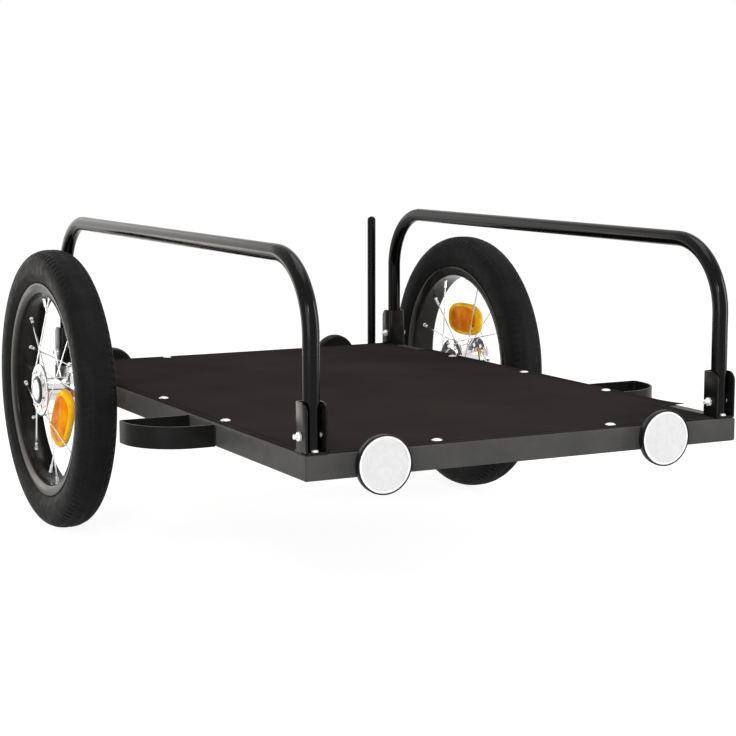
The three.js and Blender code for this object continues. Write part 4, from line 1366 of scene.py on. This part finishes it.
def rim_profile():
    """The rim's section, from a lip over its inner face to the other lip and back along the tyre's bed."""
    foot = RIM_HALF - RIM_SLOPE
    lip = ((1, 0.0007), (0.8, 0.0002), (0.5, 0), (0.2, 0.0002), (0, 0.0009))
    half = [(RIM_HALF - share * RIM_WALL, LIP_RADIUS - drop) for share, drop in lip]
    half += [(RIM_HALF, BEAD_SEAT + 0.0008), (RIM_HALF - 0.0002, BEAD_SEAT - 0.0006)]
    half += [(foot + 0.0002, RIM_INNER + 0.0022), (foot - 0.0004, RIM_INNER + 0.0011)]
    half += [(foot - 0.0014, RIM_INNER + 0.0005), (RIM_FLAT, RIM_INNER)]
    well = [(RIM_HALF - RIM_WALL, BEAD_SEAT), (RIM_HALF / 2, BEAD_SEAT - RIM_WELL)]
    return half + mirrored(half[::-1]) + mirrored(well) + well[::-1]


def nipple(line):
    hub, rim, _, _ = line
    inward = (hub - rim).normalized()
    collar = rim + inward * NIPPLE_COLLAR
    tip = rim + inward * NIPPLE_LENGTH
    return joined(bar_between(rim, collar, COLLAR_THICK, 16), bar_between(collar, tip, NIPPLE_THICK))


for side, _ in SIDES:
    rim = turned(rim_profile(), RIM_STEPS, ring=True)
    wheel_piece(side, "rim_hoop", rim, rim_paint, "rim", sharp=FOLD_SHARP)
    nipples = joined(*[nipple(line) for line in spoke_lines(WHEEL_TURN[side])])
    wheel_piece(side, "nipples", nipples, zinc, slot="chrome", sharp=40)
print("spokes per wheel", SPOKES)

# %% [markdown]
# ### Hub and spokes
#
# The hub is turned, with two drilled flanges. Each spoke is a wire that comes through its flange, bends
# over and runs tangentially to its nipple, so that neighbours cross on the way.

# %% Hub and spokes
HUB_STEPS = 64
HUB_EDGE = 0.0005
FLANGE_RADIUS = 0.0375
FLANGE_INSIDE = FLANGE_AT - FLANGE_THICK / 2
FLANGE_OUTSIDE = FLANGE_AT + FLANGE_THICK / 2
BARREL = 0.017
BARREL_FILLET = ((0, 0.0045), (0.003, 0.0015), (0.007, 0))
BEARING_RADIUS = 0.0143
AXLE_ROOM = 0.008
RECESS = 0.0203
BOSS = 0.0235
BOSS_FILLET = 0.001
DRILLED = 8
DRILL_CIRCLE = 0.0262
DRILL_RADIUS = 0.0036
DRILL_REACH = 0.004
HEAD_THICK = 0.0009
HEAD_GAP = 0.0012
HEAD_RADIUS = 0.0019
SPOKE_SHORT = 0.002
ELBOW_RUN = 0.002
ELBOW_LIFT = 0.0006
WIRE_STEPS = 10
DRILL_STEPS = 20


def hub_shell(bearing_floor, recess_floor, boss_end):
    inside, outside = FLANGE_INSIDE, FLANGE_OUTSIDE
    flange = [
        (outside, FLANGE_RADIUS - HUB_EDGE), (outside - HUB_EDGE, FLANGE_RADIUS),
        (inside + HUB_EDGE, FLANGE_RADIUS), (inside, FLANGE_RADIUS - HUB_EDGE),
    ]
    flange += [(inside - along, BARREL + rise) for along, rise in BARREL_FILLET]
    bead_ring = [(-outside, 0.004), (-outside - 0.0008, 0.0045), (-outside, 0.006)]
    profile = [(-outside, BEARING_RADIUS)] + [(x, BARREL + rise) for x, rise in bead_ring]
    profile += mirrored(flange) + flange[::-1]
    profile += [
        (outside, BOSS + BOSS_FILLET), (outside + BOSS_FILLET, BOSS), (boss_end - HUB_EDGE, BOSS),
        (boss_end, BOSS - HUB_EDGE), (boss_end, RECESS + HUB_EDGE), (boss_end - HUB_EDGE, RECESS),
        (recess_floor, RECESS), (recess_floor, BEARING_RADIUS), (bearing_floor, BEARING_RADIUS),
        (bearing_floor, AXLE_ROOM), (-bearing_floor, AXLE_ROOM), (-bearing_floor, BEARING_RADIUS),
    ]
    return turned(profile, HUB_STEPS, ring=True)


def wire(line):
    """A spoke with its head, elbow and straight run, ending just short of the nipple's end."""
    hub, rim, lean, flange = line
    head = Vector((flange * FLANGE_AT - lean * (FLANGE_THICK / 2 + HEAD_GAP), hub.y, hub.z))
    through = Vector((hub.x - lean * SPOKE_RADIUS, hub.y, hub.z))
    stop = rim + (hub - rim).normalized() * (NIPPLE_LENGTH - SPOKE_SHORT)
    away = (stop - hub).normalized()
    elbow = [hub + (through - hub) * 0.55, hub + (through - hub) * 0.1 + away * ELBOW_LIFT]
    path = [head, through, *elbow, hub + away * ELBOW_RUN, stop]
    knob = bar_between(head, head + Vector((-lean * HEAD_THICK, 0, 0)), HEAD_RADIUS)
    return joined(swept(path, round_section(SPOKE_RADIUS, WIRE_STEPS)), knob)


def drill(piece, matrix):
    """Cuts the ring of round holes out of both flanges."""
    bars = []
    for i in range(DRILLED):
        angle = math.tau * (i + 0.5) / DRILLED
        for flange in (-FLANGE_AT, FLANGE_AT):
            ends = [around(flange + reach, DRILL_CIRCLE, angle) for reach in (-DRILL_REACH, DRILL_REACH)]
            bars.append(bar_between(*ends, DRILL_RADIUS, DRILL_STEPS))
    tool = bpy.data.objects.new("drill", make_mesh("drill", placed(joined(*bars), matrix)))
    bpy.context.scene.collection.objects.link(tool)
    cut = piece.modifiers.new("holes", "BOOLEAN")
    cut.operation = "DIFFERENCE"
    cut.solver = "EXACT"
    cut.object = tool
    bpy.context.view_layer.update()
    graph = bpy.context.evaluated_depsgraph_get()
    holed = bpy.data.meshes.new_from_object(piece.evaluated_get(graph))
    piece.modifiers.clear()
    used = [piece.data, tool.data]
    piece.data = holed
    bpy.data.objects.remove(tool)
    for mesh in used:
        bpy.data.meshes.remove(mesh)
    holed.set_sharp_from_angle(angle=math.radians(SHARP))


for side, _ in SIDES:
    near, far = axle_reach(side, "outer_bearing")
    shell = hub_shell(near - SEAM, far + SEAM, axle_reach(side, "hub_and_spokes")[1])
    hub = wheel_piece(side, "hub_shell", shell, chrome, "hub_and_spokes")
    drill(hub, wheel_matrix(side))
    wires = joined(*[wire(line) for line in spoke_lines(WHEEL_TURN[side])])
    wheel_piece(side, "spokes", wires, chrome)
    dress_node(f"{side}_outer_bearing", ground_steel)
    dress_node(f"{side}_inner_bearing", ground_steel)
    print(side, "hub faces", len(hub.data.polygons))

# %% [markdown]
# ### Push-button axle
#
# The axle is a hollow bar with a dark cup at its outer end. The chromed button sits in the cup and has
# its own body, so it can be pressed in.

# %% Axles and buttons
AXLE_RADIUS = 0.006
AXLE_BORE = 0.0032
AXLE_STEPS = 64
CUP_DEPTH = 0.0072
CUP_FLOOR = 0.0016
CUP_INNER = 0.0151
CUP_EDGE = 0.0008
STEM_RADIUS = 0.0026
CAP_DEPTH = 0.0032

for side, _ in SIDES:
    outer, inner = axle_reach(side, "axle")
    head = size_of(f"{side}_axle").z / 2
    base = outer - CUP_DEPTH
    cup = [(-inner, AXLE_BORE), (-inner, 0.005), (-inner + 0.001, AXLE_RADIUS), (base, AXLE_RADIUS)]
    cup += [(base, head - CUP_EDGE), (base + CUP_EDGE, head), (outer - 0.0016, head)]
    cup += [(outer - 0.0004, head - 0.0009), (outer, head - 0.002), (outer, CUP_INNER + 0.0007)]
    cup += [(outer - 0.0007, CUP_INNER), (base + CUP_FLOOR, CUP_INNER), (base + CUP_FLOOR, AXLE_BORE)]
    wheel_piece(side, "axle_cup", turned(cup, AXLE_STEPS), black_steel, "axle", "frame")
    top, stem_end = axle_reach(side, "release_button")
    radius = size_of(f"{side}_release_button").z / 2
    cap = top - CAP_DEPTH
    button = [(-stem_end, 0), (-stem_end, STEM_RADIUS), (cap, STEM_RADIUS), (cap, radius - 0.0004)]
    button += [(top - 0.0026, radius), (top - 0.0012, radius), (top - 0.0004, radius - 0.0008)]
    button += [(top, radius - 0.0022), (top, radius * 0.62), (top - 0.0004, radius * 0.56)]
    button = turned([*button, (top - 0.0006, 0)], AXLE_STEPS)
    wheel_piece(side, "button_cap", button, chrome, "release_button", "button", slot="button_chrome")
print("buttons", [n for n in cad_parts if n.endswith("release_button")])

# %% [markdown]
# ### Spoke reflectors
#
# A spoke reflector is a rounded amber block between the two sets of spokes. Its smooth rim is paler
# than the lens, which is filled with prisms. The left one leans a little, and each one is held by two
# short posts that clip to the nearest spokes.

# %% Spoke reflectors
AMBER_LENGTH = 0.098
AMBER_HEIGHT = 0.052
AMBER_HALF = 0.0045
AMBER_POWER = 2.7
AMBER_STEPS = 64
AMBER_SHARP = 60
AMBER_ANGLE = {"left": -math.pi / 5, "right": math.pi / 2}
AMBER_RADIUS = {"left": 0.062, "right": 0.069}
AMBER_OFFSET = {"left": 0.007, "right": 0.0}
AMBER_TILT = {"left": math.pi / 22, "right": 0.0}
BLOCK_LAYERS = ((-1, 0.002), (-0.6, 0.0004), (0, 0), (0.6, 0.0004), (1, 0.002))
LENS_LAYERS = ((-1.2, 0.0012), (-0.9, 0), (0.9, 0), (1.2, 0.0012))
LENS_SHARE = 0.8
POST_FACES = {"left": (1, 1), "right": (-1, 1)}
POST_RADIUS = 0.002


def rounded_block(share, layers):
    """Stacks copies of a soft rectangle: layers are (height, inset), height 1 being the block's face."""
    half_x, half_y = AMBER_LENGTH * share / 2, AMBER_HEIGHT * share / 2
    outline = []
    for angle in turns(AMBER_STEPS):
        cos, sin = math.cos(angle), math.sin(angle)
        x = half_x * math.copysign(abs(cos) ** (2 / AMBER_POWER), cos)
        y = half_y * math.copysign(abs(sin) ** (2 / AMBER_POWER), sin)
        outline.append((x, y))
    rings = []
    for height, inset in layers:
        sx, sy = 1 - inset / half_x, 1 - inset / half_y
        rings.append([(x * sx, y * sy, height * AMBER_HALF) for x, y in outline])
    return lofted(rings)


def reflector_matrix(side):
    """Outline x along the wheel's tangent, outline y outwards, thickness along the axle."""
    turned_out = Matrix.Rotation(AMBER_ANGLE[side], 4, "X")
    place = Matrix.Translation((AMBER_OFFSET[side], AMBER_RADIUS[side], 0))
    lean = Matrix.Rotation(AMBER_TILT[side], 4, "Z")
    return turned_out @ place @ lean @ Matrix.Rotation(math.pi / 2, 4, "Y")


def spoke_at(line, radius):
    """Where a spoke's line passes a radius, between the hub and the rim."""
    hub, rim = line[0], line[1]
    run = rim - hub
    a = run.y**2 + run.z**2
    b = 2 * (run.y * hub.y + run.z * hub.z)
    c = hub.y**2 + hub.z**2 - radius**2
    return hub + run * ((math.sqrt(b * b - 4 * a * c) - b) / (2 * a))


def reflector_posts(side):
    radius = AMBER_RADIUS[side]
    offset = AMBER_OFFSET[side]
    middle = around(offset, radius, AMBER_ANGLE[side])
    places = [spoke_at(line, radius) for line in spoke_lines(WHEEL_TURN[side])]
    places.sort(key=lambda place: (place - middle).length)
    posts = []
    for face in POST_FACES[side]:
        nearest = next(place for place in places if place.x * face > 0)
        places.remove(nearest)
        ends = (offset, nearest.x - face * (SPOKE_RADIUS + 2 * SEAM))
        posts.append(bar_between(*[(x, nearest.y, nearest.z) for x in ends], POST_RADIUS))
    return joined(*posts)


block = rounded_block(1, BLOCK_LAYERS)
lens = rounded_block(LENS_SHARE, LENS_LAYERS)
for side, _ in SIDES:
    lean = reflector_matrix(side)
    wheel_piece(side, "amber_block", placed(block, lean), amber_rim, "spoke_reflector", sharp=AMBER_SHARP)
    wheel_piece(side, "amber_lens", placed(lens, lean), amber_lens, sharp=AMBER_SHARP)
    wheel_piece(side, "amber_posts", reflector_posts(side), amber_rim, sharp=AMBER_SHARP)
print("spoke reflectors", AMBER_LENGTH, "long")
